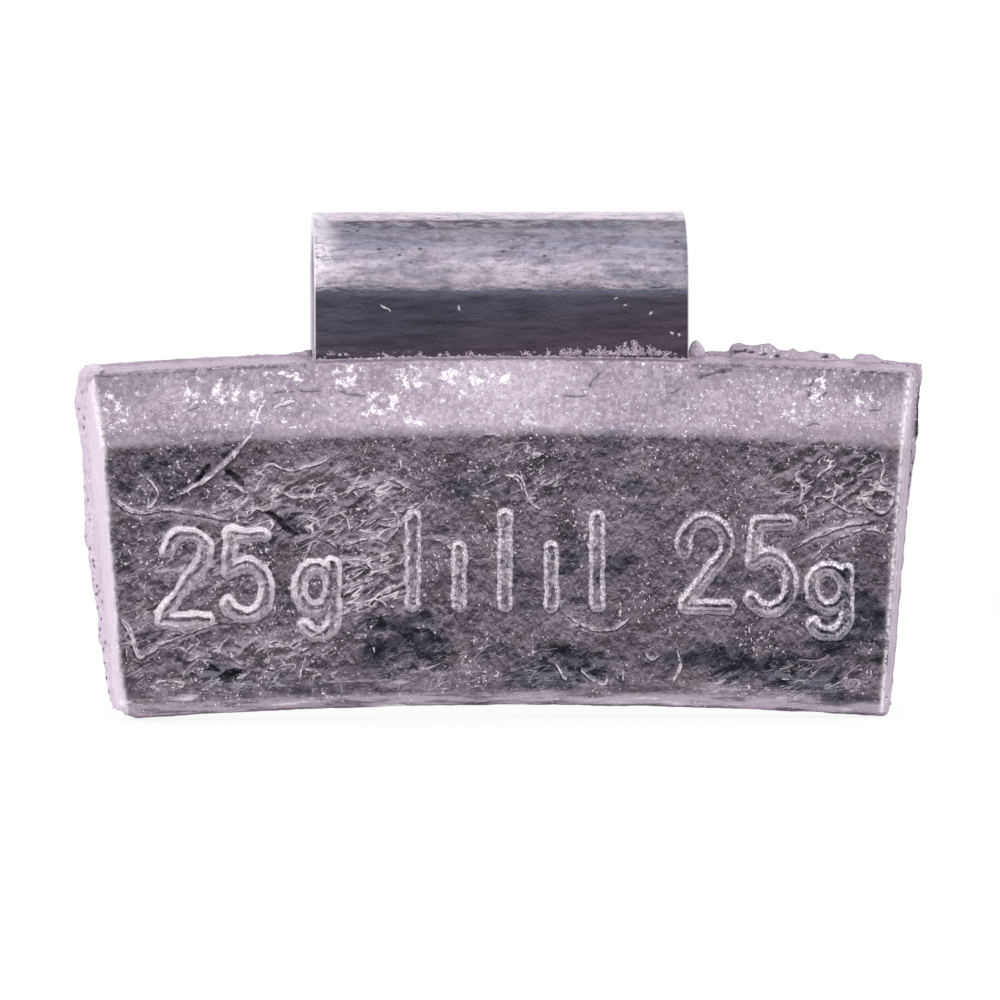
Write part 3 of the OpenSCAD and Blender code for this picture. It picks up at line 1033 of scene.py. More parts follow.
def make_clip():
    """The spring strip, swept along its outer face: tongue, neck, curl, lip and flared tip."""
    half = CLIP_W / 2
    outer = CURL_R + CLIP_T
    tongue_z = TOP_Z - TONGUE_LEN
    lean = Matrix.Rotation(-LIP_LEAN, 3, "X")
    flare = Matrix.Rotation(TIP_FLARE - LIP_LEAN, 3, "X")
    bm = bmesh.new()
    bmesh.ops.create_grid(bm, x_segments=CLIP_COLUMNS, y_segments=1, size=half)
    bmesh.ops.delete(bm, geom=[v for v in bm.verts if v.co.y > 0], context="VERTS")
    bmesh.ops.translate(bm, vec=(0, half - outer, tongue_z), verts=bm.verts)

    def straight(edges, length, turn):
        steps = round(length / STRIP_ROWS)
        step = turn @ Vector((0, 0, -length / steps))

        def move(verts):
            bmesh.ops.translate(bm, vec=step, verts=verts)

        return sweep(bm, edges, steps, move)

    def bend(edges, centre, angle, steps):
        turn = Matrix.Rotation(angle / steps, 3, "X")

        def move(verts):
            bmesh.ops.rotate(bm, cent=centre, matrix=turn, verts=verts)

        return sweep(bm, edges, steps, move)

    rim = straight(bm.edges[:], -tongue_z, Matrix.Rotation(math.pi, 3, "X"))
    rim = bend(rim, (0, 0, 0), -math.pi - LIP_LEAN, CURL_STEPS)
    rim = straight(rim, LIP_LEN, lean)
    rim = bend(rim, lean @ Vector((0, outer + TIP_BEND_R, -LIP_LEN)), TIP_FLARE, TIP_STEPS)
    tip_z = rim[0].verts[0].co.z - TIP_LEN * math.cos(TIP_FLARE - LIP_LEAN)
    tip_z -= CLIP_T * math.sin(TIP_FLARE - LIP_LEAN)
    straight(rim, TIP_LEN, flare)
    cut_corners(bm, tongue_z, tip_z)
    thicken(bm)
    # A roll-formed strip is never quite flat
    bm.normal_update()
    move_out(bm, 0.014 * sample(points_of(bm) * (0.35, 1, 1), 0.5, seed=131))
    return finish_mesh(bm, "clip_strip")


def cut_corners(bm, tongue_z, tip_z):
    """Rounds the tip's corners, and cuts those of the tongue's end."""
    for v in bm.verts:
        left = TONGUE_CORNER - (v.co.z - tongue_z)
        if v.co.y > 0:
            short = max(TIP_CORNER_R - (v.co.z - tip_z), 0)
            left = TIP_CORNER_R - math.sqrt(max(TIP_CORNER_R**2 - short**2, 0))
        v.co.x *= 1 - max(left, 0) / (CLIP_W / 2)


def thicken(bm):
    """Gives the strip its thickness, inwards, and bevels its sheared edges."""
    bmesh.ops.recalc_face_normals(bm, faces=bm.faces)
    top = max(bm.faces, key=lambda f: f.calc_center_median().z)
    if top.normal.z < 0:
        bmesh.ops.reverse_faces(bm, faces=bm.faces)
    bmesh.ops.solidify(bm, geom=bm.faces[:], thickness=CLIP_T)
    bmesh.ops.recalc_face_normals(bm, faces=bm.faces)
    corners = [e for e in bm.edges if e.calc_face_angle(0) > SHARP_EDGE]
    bmesh.ops.bevel(
        bm, geom=corners, offset=EDGE_ROUND, affect="EDGES", segments=2, profile=0.5, material=-1
    )


# Materials


class Nodes:
    """The nodes of a material or of the world, made by short calls."""

    def __init__(self, tree):
        self.tree = tree

    def node(self, kind, **sockets):
        made = self.tree.nodes.new("ShaderNode" + kind)
        for name, value in sockets.items():
            self.put(made.inputs[name.replace("_", " ")], value)
        return made

    def put(self, socket, value):
        if isinstance(value, bpy.types.NodeSocket):
            self.tree.links.new(value, socket)
        else:
            socket.default_value = value

    def coords(self, scale=(1, 1, 1), turn=(0, 0, 0)):
        """Object coordinates in millimetres, turned and stretched."""
        place = self.node("TexCoord").outputs["Object"]
        turned = self.node("Mapping", Vector=place, Rotation=turn).outputs[0]
        return self.node("Mapping", Vector=turned, Scale=tuple(s / MM for s in scale)).outputs[0]

    def warp(self, vector, scale, far):
        """Coordinates that wander by up to about half of far."""
        drift = self.node("TexNoise", Vector=vector, Scale=scale, Detail=2).outputs["Color"]
        made = self.tree.nodes.new("ShaderNodeVectorMath")
        made.operation = "MULTIPLY_ADD"
        self.put(made.inputs[0], drift)
        made.inputs[1].default_value = (far, far, far)
        self.put(made.inputs[2], vector)
        return made.outputs[0]

    def noise(self, vector, scale, detail, roughness=0.55, distortion=0):
        """A noise from 0 to 1, whose middle is 0.5."""
        kind = {"Detail": detail, "Roughness": roughness, "Distortion": distortion}
        return self.node("TexNoise", Vector=vector, Scale=scale, **kind).outputs["Fac"]

    def ramp(self, value, low, high, start=0.0, end=1.0):
        """Goes smoothly from start, where the value is low, to end, where it is high."""
        made = self.node("MapRange", Value=value, From_Min=low, From_Max=high, To_Min=start, To_Max=end)
        made.interpolation_type = "SMOOTHSTEP"
        return made.outputs[0]

    def thread(self, vector, scale, width):
        """Thin closed lines, where a noise passes its middle."""
        return self.ramp(self.gap(self.noise(vector, scale, 2, 0.5), 0.5), width, 0.1 * width)

    def dots(self, vector, scale, size, share):
        """Small round dots of unequal strength in a share of a lattice's cells."""
        cells = self.node("TexVoronoi", Vector=vector, Scale=scale)
        near = self.ramp(cells.outputs["Distance"], size, 0.3 * size)
        tone = self.node("SeparateColor", Color=cells.outputs["Color"]).outputs["Red"]
        return self.times(near, self.ramp(tone, share, self.times(share, 0.3)))

    def math(self, operation, a, b=0.0):
        made = self.tree.nodes.new("ShaderNodeMath")
        made.operation = operation
        self.put(made.inputs[0], a)
        self.put(made.inputs[1], b)
        return made.outputs[0]

    def shifted(self, vector, scale, far):
        """A noise from about -far / 2 to far / 2, that roughens an outline."""
        return self.times(self.less(self.noise(vector, scale, 3, 0.65), 0.5), far)

    def most(self, *values):
        largest = values[0]
        for value in values[1:]:
            largest = self.math("MAXIMUM", largest, value)
        return largest

    def times(self, *values):
        product = values[0]
        for value in values[1:]:
            product = self.math("MULTIPLY", product, value)
        return product

    def plus(self, *values):
        total = values[0]
        for value in values[1:]:
            total = self.math("ADD", total, value)
        return total

    def less(self, a, b):
        return self.math("SUBTRACT", a, b)

    def gap(self, a, b):
        """How far two values are apart."""
        return self.math("ABSOLUTE", self.less(a, b))

    def mix(self, share, a, b):
        made = self.tree.nodes.new("ShaderNodeMix")
        made.data_type = "RGBA"
        self.put(made.inputs[0], share)
        self.put(made.inputs[6], a)
        self.put(made.inputs[7], b)
        return made.outputs[2]

    def between(self, share, a, b):
        """A value between two others."""
        made = self.tree.nodes.new("ShaderNodeMix")
        self.put(made.inputs[0], share)
        self.put(made.inputs[2], a)
        self.put(made.inputs[3], b)
        return made.outputs[0]

    def attribute(self, name):
        """A field of the mesh, which is 0 where a mesh hasn't got it."""
        made = self.tree.nodes.new("ShaderNodeAttribute")
        made.attribute_name = name
        return made.outputs["Fac"]

    def facing_up(self):
        """How far the surface faces upwards, from -1 to 1."""
        split = self.node("SeparateXYZ", Vector=self.node("TexCoord").outputs["Normal"])
        return split.outputs["Z"]

    def over_rim(self):
        """Height on the curve of the casting, in millimetres, as it would be at the casting's middle."""
        flat = self.tree.nodes.new("ShaderNodeVectorMath")
        flat.operation = "MULTIPLY_ADD"
        self.put(flat.inputs[0], self.coords())
        flat.inputs[1].default_value = (1, 0, 1)
        flat.inputs[2].default_value = (0, 0, -ARC_Z)
        reach = self.node("VectorMath", Vector=flat.outputs[0])
        reach.operation = "LENGTH"
        return self.plus(reach.outputs["Value"], ARC_Z)

    def scuff(self, pixel, long, thin, turn):
        """A small ragged scuff on the front of the clip."""
        x, z = at_pixel(*pixel, FRILL_Y)
        local = self.tree.nodes.new("ShaderNodeMapping")
        local.vector_type = "TEXTURE"
        self.put(local.inputs["Vector"], self.warp(self.coords(), 5, 0.14))
        local.inputs["Location"].default_value = (x + 0.07, 0, z + 0.07)
        local.inputs["Rotation"].default_value = (0, math.radians(turn), 0)
        local.inputs["Scale"].default_value = (long, 1000, thin)
        reach = self.node("VectorMath", Vector=local.outputs[0])
        reach.operation = "LENGTH"
        return self.ramp(reach.outputs["Value"], 1.1, 0.6, 0.0, 0.85)

    def axis(self, name):
        """The place's coordinate on an axis, in millimetres."""
        split = self.node("SeparateXYZ", Vector=self.coords())
        return split.outputs[name]

    def bump(self, height, distance, normal=None):
        """Bumps of a height given in millimetres."""
        made = self.node("Bump", Strength=1.0, Distance=distance * MM, Height=height)
        if normal is not None:
            self.put(made.inputs["Normal"], normal)
        return made.outputs[0]


class Shader(Nodes):
    """A material, whose colour is built up in coats."""

    def __init__(self, name):
        self.material = bpy.data.materials.new(name)
        self.material.use_nodes = True
        super().__init__(self.material.node_tree)
        self.bsdf = self.tree.nodes["Principled BSDF"]
        self.colour = None

    def coat(self, colour, *shares):
        """Lays a colour over the material's own, by the product of the shares."""
        self.colour = self.mix(self.times(*shares), self.colour, colour)

    def finish(self, metallic, rough, normal):
        """The material, in the colour that its coats made."""
        self.put(self.bsdf.inputs["Base Color"], self.colour)
        self.put(self.bsdf.inputs["Metallic"], metallic)
        self.put(self.bsdf.inputs["Roughness"], rough)
        self.put(self.bsdf.inputs["Normal"], normal)
        return self.material


def rgb(r, g, b):
    """A colour from its 0 to 255 screen values."""
    shares = (c / 255 for c in (r, g, b))
    return (*(s / 12.92 if s <= 0.0404 else ((s + 0.055) / 1.055) ** 2.4 for s in shares), 1)


LEAD_DARK = rgb(123, 111, 126)
LEAD_GREY = rgb(160, 146, 161)
LEAD_BAND = rgb(138, 125, 139)
LEAD_PALE = rgb(193, 181, 194)
LEAD_WHITE = rgb(232, 216, 232)
LEAD_BRIGHT = rgb(252, 243, 251)
# The darkest lead: painted shade in hollows, under the land, along the foot and in soft zones, and also dark
# pits and streaks
LEAD_CREVICE = rgb(44, 38, 49)
LEAD_EDGE = rgb(205, 192, 205)
# A painted dark reflection, for the smooth patches
LEAD_DARK_REFLECTION = rgb(98, 100, 116)
LEAD_WARM = rgb(146, 128, 128)


class Lead(Shader):
    """Bare cast lead: grey and frosted, with smooth patches painted dark as a reflection, and pale rubbed
    crests with painted highlights.

    A pale share above 0 makes the lead of the flash, which has none of the casting's marks.
    """

    def __init__(self, name, pale=0.0):
        super().__init__(name)
        self.pale = pale
        self.bsdf.inputs["Specular Tint"].default_value = LEAD_EDGE
        self.place = self.coords()
        self.height, self.aside = self.over_rim(), self.axis("X")
        self.band, self.end = self.attribute("band"), self.attribute("end")
        self.face = self.less(0.0 if pale else 1.0, self.band)
        self.mottle = self.ramp(self.noise(self.coords((0.8, 1, 1)), 1.5, 5, 0.68), 0.42, 0.62)
        self.grain = self.noise(self.place, 3.6, 4, 0.64)
        self.drift = self.noise(self.coords((0.5, 1, 1)), 0.55, 5, 0.66)

    def lay_ground(self):
        """Cool and warm greys under a frost of fine crystals."""
        cool = self.ramp(self.noise(self.place, 0.28, 4, 0.6, 0.5), 0.36, 0.64)
        self.colour = self.mix(cool, LEAD_DARK, LEAD_GREY)
        self.coat(LEAD_WARM, self.ramp(self.noise(self.place, 0.5, 3, 0.6), 0.54, 0.7), 0.4)
        frost = self.plus(self.times(self.mottle, 0.22), self.ramp(self.grain, 0.4, 0.62, -0.05, 0.3))
        self.coat(LEAD_PALE, frost)

    def lay_patches(self):
        """Smooth patches, coloured darker as a painted reflection of the dark, more of them towards the
        foot.
        """
        lower = self.ramp(self.height, RIDGE_Z - 3, FOOT_Z + 1, 0.0, 0.05)
        patches = self.plus(self.drift, self.times(self.attribute("calm"), 0.14), lower)
        self.patches = self.times(self.ramp(patches, 0.57, 0.7), self.face)
        # Painted reflection: the smooth patches are coloured like the dark that they mirror
        self.coat(LEAD_DARK_REFLECTION, self.patches, 0.75)

    def lay_painted_shade(self):
        """Painted shade in soft zones on the face, which is also darker just under the ridge and in a strip
        over the foot.
        """
        self.shade_zone = self.times(self.attribute("shade_zone"), self.ramp(self.drift, 0.42, 0.62, 1.0, 0.35))
        under_ridge = self.ramp(self.height, RIDGE_Z - 3.5, RIDGE_Z - 0.8, 0.0, 0.15)
        over_foot = self.ramp(self.gap(self.height, FOOT_Z + 2.3), 1.8, 0.6, 0.0, 0.15)
        self.coat(LEAD_CREVICE, self.most(under_ridge, over_foot, self.times(self.shade_zone, 0.5)), self.face)

    def lay_band(self):
        """The sloping band and the land are rubbed pale in clouds, and paler still towards the middle, a
        painted highlight of the light from above.
        """
        clouds = self.ramp(self.noise(self.coords((0.7, 1, 1)), 0.3, 4, 0.6), 0.36, 0.62, 0.0, 0.31)
        # Painted highlight: paler towards the middle of the band
        middle = self.ramp(self.gap(self.aside, -0.6), 5.5, 2.5, 0.0, 0.25)
        self.coat(LEAD_BAND, self.band, 0.75)
        clouds = self.plus(clouds, middle, self.ramp(self.grain, 0.4, 0.6, -0.12, 0.25))
        self.coat(LEAD_PALE, self.band, clouds)
        # Painted shade in soft zones on the band
        self.coat(LEAD_CREVICE, self.band, self.shade_zone, 0.3)

    def lay_edges(self):
        """Beside the clip, painted shade makes a darker strip and a thin dark line under the land. The ends
        and the land are painted white, a painted highlight.
        """
        beside_clip = self.ramp(self.gap(self.aside, 0.0), CLIP_W / 2 - 0.5, CLIP_W / 2 + 0.9)
        outer = self.times(beside_clip, self.band)
        # Painted shade: a darker strip under the land beside the clip
        strip = self.ramp(self.height, LAND_Z - 1.3, LAND_Z - 0.1)
        strip = self.times(strip, self.ramp(self.height, LAND_Z + 0.08, LAND_Z - 0.02))
        self.coat(LEAD_CREVICE, strip, outer, self.ramp(self.mottle, 0.0, 1.0, 0.36, 0.2))
        # Painted highlight: the ends, the left one most, and the land are coloured white
        self.coat(LEAD_WHITE, self.end, 0.9)
        # Painted shade: a thin dark line under the land's front edge
        line_z = self.plus(self.height, self.shifted(self.coords((0.4, 1, 1)), 2, 0.12))
        line = self.ramp(self.gap(line_z, LAND_Z - 0.05), 0.15, 0.05)
        self.coat(LEAD_CREVICE, line, outer, self.ramp(self.grain, 0.4, 0.58, 0.6, 0.2))
        if self.pale:
            self.coat(LEAD_WHITE, self.less(self.pale, self.ramp(self.grain, 0.46, 0.6, 0.0, 0.2)))

    def lay_grain(self):
        """Dark pits of the mould's grain, bright specks that are painted glints, in clusters, and white
        splashes.
        """
        pitted = self.ramp(self.noise(self.place, 0.9, 4, 0.65), 0.42, 0.6, 0.05, 1.0)
        pits = self.dots(self.coords((0.8, 1, 1)), 6.5, 0.42, 0.5)
        self.coat(LEAD_CREVICE, pits, pitted, 0.5 if self.pale else 0.32)
        clusters = self.ramp(self.noise(self.coords((1, 1, 0.6)), 0.5, 4, 0.65), 0.46, 0.6, 0.0, 0.8)
        clusters = self.times(clusters, self.ramp(self.band, 0.0, 1.0, 1.0, 0.2))
        sparkle = self.times(self.attribute("spark"), self.ramp(self.mottle, 0.0, 0.6, 0.4, 1.0))
        on_ridge = self.times(self.band, self.face, 3.2)
        clusters = self.times(self.most(clusters, on_ridge, sparkle), 0.075)
        glints = self.noise(self.coords((0.9, 1, 0.8)), 7.8, 2, 0.62)
        specks = self.ramp(self.plus(glints, clusters, 0.025 if self.pale else 0.0), 0.684, 0.72)
        self.specks = self.times(specks, self.less(1.0, self.times(self.patches, 0.75)))
        splash = self.plus(self.noise(self.place, 2.2, 5, 0.74), self.times(self.attribute("splash"), 0.13))
        self.splash = self.times(
            self.ramp(splash, 0.58, 0.69, 0.0, 0.75), self.ramp(self.grain, 0.36, 0.56, 0.35, 1.0)
        )

    def rough_cast(self):
        """Bumps all over, flatter on the smooth patches, and how cracked each place is."""
        bumps = self.noise(self.coords((1, 1, 0.6)), 3.6, 2, 0.6)
        lively = self.less(1.0, self.times(self.patches, 0.7))
        self.bumps = self.bump(self.times(self.less(bumps, 0.5), lively), 0.1 if self.pale else 0.06)
        ragged = self.shifted(self.place, 6, 1.2 if self.pale else 0.7)
        crack = self.ramp(self.plus(self.attribute("crack"), ragged), 1.2, 0.6)
        self.crack = self.times(crack, self.ramp(self.face, 0.0, 1.0, 0.95 if self.pale else 0.62, 0.92))

    def lay_foot(self):
        """Level streaks near the foot, a painted highlight along its rounded edge and a painted shadow line
        along its very bottom, and how bright their flow is.
        """
        level = self.noise(self.coords((0.14, 1, 1)), 2.1, 5, 0.66)
        low = self.times(self.ramp(self.height, FOOT_Z + 1.9, FOOT_Z + 0.7), self.face)
        foot_z = self.plus(self.height, self.shifted(self.coords((0.4, 1, 1)), 1.6, 0.7))
        pale = self.ramp(foot_z, FOOT_Z + 0.75, FOOT_Z + 0.5)
        # Painted highlight along the rounded foot edge
        self.coat(LEAD_PALE, pale, self.face, self.ramp(level, 0.42, 0.52, 0.3, 1.0), 0.6)
        # Painted shadow: a thin dark line at the very bottom
        self.coat(LEAD_CREVICE, self.ramp(foot_z, FOOT_Z + 0.2, FOOT_Z + 0.02), self.face, 0.6)
        self.coat(LEAD_CREVICE, self.ramp(level, 0.46, 0.38), low, 0.5)
        self.bumps = self.bump(self.times(level, low), 0.06, self.bumps)
        return self.times(self.ramp(level, 0.56, 0.66), low, 0.7)

    def foil_threads(self):
        """Threads of foil-like wrinkles, which run up to the right, painted bright as highlights on their
        crests.
        """
        slanted = self.warp(self.coords((0.3, 1, 1.2), (0, math.radians(27), 0)), 0.8, 0.5)
        small = self.times(self.thread(slanted, 2.1, 0.02), 0.8)
        threads = self.most(self.thread(slanted, 0.9, 0.016), small)
        broken = self.ramp(self.noise(self.place, 1.4, 4, 0.7), 0.45, 0.54)
        return self.times(threads, broken, self.attribute("wrinkle"))

    def fold_crests(self):
        """Folds: pale all over, with a painted highlight as a bright rim on both sides of the crest, and
        broken here and there.
        """
        far = self.plus(self.attribute("fold"), self.shifted(self.place, 5, 0.6))
        crests = self.most(self.ramp(self.gap(far, 0.85), 0.4, 0.15), self.ramp(far, 1.1, 0.7, 0.0, 0.5))
        return self.times(crests, self.ramp(self.noise(self.place, 2.6, 4, 0.7), 0.4, 0.56, 0.12, 1.0))

    def marks(self):
        """Strokes of the marks: granular on top, with painted highlights on their flanks that are brightest
        where they face up, and rubbed off in places.
        """
        far = self.plus(self.attribute("stroke_far"), self.shifted(self.place, 4.5, 0.2))
        edge = STROKE_W / 2
        faded = self.ramp(self.noise(self.place, 0.5, 4, 0.65), 0.38, 0.5, 0.5, 1.0)
        faded = self.less(faded, self.times(self.attribute("rubbed"), 0.8))
        broader = self.ramp(self.aside, -4, -8, 0.015, 0.04)
        flank = self.ramp(self.less(self.gap(far, edge - 0.02), broader), 0.12, 0.06)
        granular = self.ramp(self.noise(self.place, 8, 2, 0.6), 0.45, 0.57, 0.15, 1.0)
        granular = self.most(granular, self.ramp(self.aside, -4, -8, 0.15, 0.6))
        # Painted highlight: flanks that face up, towards the light, are brighter
        flank = self.times(flank, granular, faded, self.ramp(self.facing_up(), -0.4, 0.15, 0.4, 1.0))
        inside = self.ramp(self.noise(self.place, 0.6, 2), 0.42, 0.58, 0.05, 0.5)
        inside = self.times(self.ramp(far, edge, edge - 0.1), inside)
        inside = self.times(inside, self.ramp(self.noise(self.place, 5.5, 3, 0.68), 0.4, 0.62), faded)
        return self.most(flank, inside)

    def finish_flash(self):
        # Painted glints: the bright specks
        self.coat(LEAD_BRIGHT, self.most(self.times(self.specks, 0.8), self.times(self.splash, 0.3)))
        self.coat(LEAD_CREVICE, self.crack)
        return self.finish(0.9 - 0.9 * self.pale, 0.42, self.bumps)

    def finish_casting(self):
        """The crests, flanks, front edges and grain are painted bright, partly wear and partly painted
        highlights and glints. Worn grain scatters light, but mirrors the tent where it faces up.
        """
        flow = self.lay_foot()
        # Painted shade in the cracks, pits and fold undercuts, and a painted shadow line at the clip's foot
        self.coat(LEAD_CREVICE, self.crack)
        threads, crests = self.foil_threads(), self.fold_crests()
        streaks = self.ramp(self.noise(self.place, 4, 4, 0.75), 0.42, 0.5, 0.25, 1.0)
        # Painted highlight along the bevelled front edges
        edges = self.times(self.attribute("edge"), streaks)
        grain = self.most(self.times(self.specks, 0.9), self.times(self.splash, self.band))
        wear_and_highlights = self.most(grain, threads, flow, crests, self.marks(), edges)
        wear_and_highlights = self.times(wear_and_highlights, self.less(1.0, self.times(self.crack, self.face, 0.85)))
        # Painted highlights and glints, with some real wear, in the palest lead
        self.coat(LEAD_BRIGHT, wear_and_highlights)
        bumps = self.bump(self.most(threads, crests, flow), 0.014, self.bumps)
        scattered = self.times(wear_and_highlights, self.face, self.ramp(self.facing_up(), 0.12, 0.4, 1.0, 0.45))
        rough = self.plus(self.ramp(self.mottle, 0.0, 1.0, 0.22, 0.32), self.times(self.face, 0.1))
        rough = self.plus(self.less(rough, self.times(self.patches, 0.13)), self.times(scattered, 0.35))
        matte = self.most(self.times(scattered, 0.92), self.times(self.end, 0.8), self.times(edges, 0.85))
        return self.finish(self.less(1.0, matte), rough, bumps)


def lead_material(name, pale=0.0):
    """The casting's lead, or with a pale share above 0 that of its flash."""
    m = Lead(name, pale)
    m.lay_ground()
    m.lay_patches()
    m.lay_painted_shade()
    m.lay_band()
    m.lay_edges()
    m.lay_grain()
    m.rough_cast()
    return m.finish_flash() if pale else m.finish_casting()


STEEL_LIGHT = rgb(160, 152, 165)
STEEL_BLUE = rgb(138, 135, 151)
STEEL_STAIN = rgb(88, 80, 92)
STEEL_PIT = rgb(42, 34, 46)
STEEL_BRIGHT = rgb(232, 224, 234)
# The neck's painted dark reflection: navy, brown and teal; the brown also colours the rusty line
STEEL_NAVY = rgb(114, 110, 132)
STEEL_BROWN = rgb(120, 106, 122)
STEEL_TEAL = rgb(148, 148, 170)
# Painted highlight on the curl's crown, and its painted sheen
STEEL_CROWN = rgb(216, 203, 216)

# Heights on the curl between which the painted shade band begins, the crown's painted highlight begins, and
# the painted sheen ends
SHADE_BAND_Z = (2.8, 3.08)
CROWN_Z = (3.26, 3.38)
SHEEN_Z = (1.6, 1.2)
# Heights between which the dust in the neck's corner and the specks at its foot begin, going down
CORNER_Z = (-1.6, -2.1)
SPECKS_Z = (-2.8, -3.05)
RUST_Z = -0.5
# White scuffs on the neck: pixel, half length and half width in millimetres, and turn in degrees
SCUFFS = [
    ((384, 307), 0.22, 0.07, 25),
    ((389, 310), 0.14, 0.05, 60),
    ((459, 308), 0.16, 0.04, 80),
    ((616, 298), 0.12, 0.04, -30),
    ((625, 305), 0.1, 0.035, 0),
    ((651, 313), 0.13, 0.06, -50),
    ((672, 333), 0.12, 0.08, 10),
    ((679, 335), 0.09, 0.07, 70),
]


class Steel(Shader):
    """Plated spring steel: rolled streaks, small pits, and a smooth neck painted blue-black as a dark
    reflection.
    """

    def __init__(self, name):
        super().__init__(name)
        self.place = self.coords()
        self.height, self.aside, self.depth = self.axis("Z"), self.axis("X"), self.axis("Y")
        self.front = self.ramp(self.depth, -CURL_R - 0.5 * CLIP_T, -CURL_R - 0.8 * CLIP_T)
        self.sharp = self.plus(self.height, self.shifted(self.coords((0.8, 1, 1)), 4, 0.4))
        self.neck = self.times(self.ramp(self.sharp, 0.12, 0.0), self.front)
        self.upper = self.less(1.0, self.times(self.neck, 0.94))

    def lay_ground(self):
        """Streaks from the rolls, and long stains."""
        streaks = self.ramp(self.noise(self.coords((0.12, 1, 1)), 1.9, 5, 0.6), 0.4, 0.6)
        self.colour = self.mix(streaks, STEEL_BLUE, STEEL_LIGHT)
        self.coat(STEEL_STAIN, self.ramp(self.noise(self.coords((0.5, 1, 1)), 1.7, 5, 0.7), 0.5, 0.64), 0.5)

    def lay_curl(self):
        """A crown painted pale as a highlight, a band of painted shade under it that fades to the right, and
        a painted sheen low on the curl.
        """
        wavy = self.plus(self.height, self.shifted(self.coords((0.3, 1, 1)), 1.6, 0.22))
        long = self.coords((0.4, 1, 1))
        broken = self.ramp(self.noise(long, 3.4, 5, 0.75), 0.42, 0.55, 0.05, 1.0)
        crown = self.ramp(wavy, *CROWN_Z)
        shade_band = self.times(self.ramp(wavy, *SHADE_BAND_Z), self.less(1.0, crown), broken)
        self.coat(STEEL_PIT, shade_band, self.ramp(self.aside, 9, -4, 0.5, 1.0), 0.8)
        patchy = self.ramp(self.noise(long, 3, 4, 0.7), 0.38, 0.56, 0.35, 1.0)
        self.coat(STEEL_CROWN, crown, patchy, 0.95)
        lower = self.ramp(self.plus(wavy, self.shifted(self.coords((0.2, 1, 1)), 0.5, 0.9)), *SHEEN_Z)
        self.coat(STEEL_CROWN, lower, self.ramp(self.noise(long, 1.1, 5, 0.65), 0.36, 0.6, 0.0, 0.55))
        # Light washes out the left end of the front
        left = self.ramp(self.aside, 1.5 - CLIP_W / 2, -CLIP_W / 2)
        front = self.times(self.ramp(self.height, 0.0, 0.5), self.ramp(self.depth, 1, 0))
        self.coat(STEEL_BRIGHT, left, front, 0.8)

    def lay_neck(self):
        """Below the curl the front is painted blue-black, a painted dark reflection, with a rusty line and
        dust in its lower left corner.
        """
        leaning = self.less(self.height, self.times(self.aside, 0.12))
        tint = self.ramp(self.plus(leaning, self.shifted(self.coords((0.15, 1, 1)), 0.5, 2.2)), -0.7, -3.0)
        neck_reflection_and_dirt = self.mix(tint, STEEL_NAVY, STEEL_BROWN)
        neck_reflection_and_dirt = self.mix(self.times(self.ramp(self.sharp, -0.45, -0.1), 0.6), neck_reflection_and_dirt, STEEL_TEAL)
        rust = self.times(self.ramp(self.gap(self.sharp, RUST_Z), 0.14, 0.04), self.ramp(self.aside, -2, 2))
        neck_reflection_and_dirt = self.mix(self.times(rust, 0.5), neck_reflection_and_dirt, STEEL_BROWN)
        leaning = self.plus(self.height, self.times(self.plus(self.aside, CLIP_W / 2), 0.45))
        corner = self.ramp(self.plus(leaning, self.shifted(self.place, 2, 0.5)), *CORNER_Z)
        corner = self.times(corner, self.ramp(self.noise(self.place, 3, 4, 0.7), 0.35, 0.6, 0.4, 1.0))
        neck_reflection_and_dirt = self.mix(self.times(corner, 0.32), neck_reflection_and_dirt, STEEL_LIGHT)
        self.coat(neck_reflection_and_dirt, self.neck, 0.94)

    def lay_dust(self):
        """Pits, grime and dust, all but on the neck."""
        pits = self.dots(self.coords((0.6, 1, 1)), 3.4, 0.34, 0.4)
        pits = self.times(pits, self.ramp(self.noise(self.place, 0.7, 3), 0.42, 0.56))
        self.coat(STEEL_PIT, pits, self.upper, 0.85)
        grime = self.ramp(self.noise(self.coords((0.6, 1, 1)), 2.4, 5, 0.78), 0.47, 0.62)
        self.coat(STEEL_STAIN, grime, self.upper, 0.35)
        dusty = self.ramp(self.noise(self.coords((0.5, 1, 1)), 0.7, 3, 0.6), 0.4, 0.6, 0.25, 1.0)
        level = self.ramp(self.noise(self.coords((0.3, 1, 1)), 5, 4, 0.7), 0.5, 0.66)
        dust = self.most(level, self.ramp(self.noise(self.place, 5, 4, 0.78), 0.53, 0.66))
        self.coat(STEEL_STAIN, dust, dusty, self.upper, 0.55)

    def finish_clip(self):
        """Scuffs, specks of lead at the neck's foot, and painted highlights on the sheared edges and the
        lip's left end, on the rolled surface.
        """
        scuffs = self.most(*(self.scuff(*scuff) for scuff in SCUFFS))
        specks = self.dots(self.coords((0.6, 1, 1)), 4.5, 0.4, 0.5)
        specks = self.times(specks, self.ramp(self.height, *SPECKS_Z), self.front)
        sheared = self.ramp(self.gap(self.aside, 0.0), CLIP_W / 2 - 0.05, CLIP_W / 2 - 0.01)
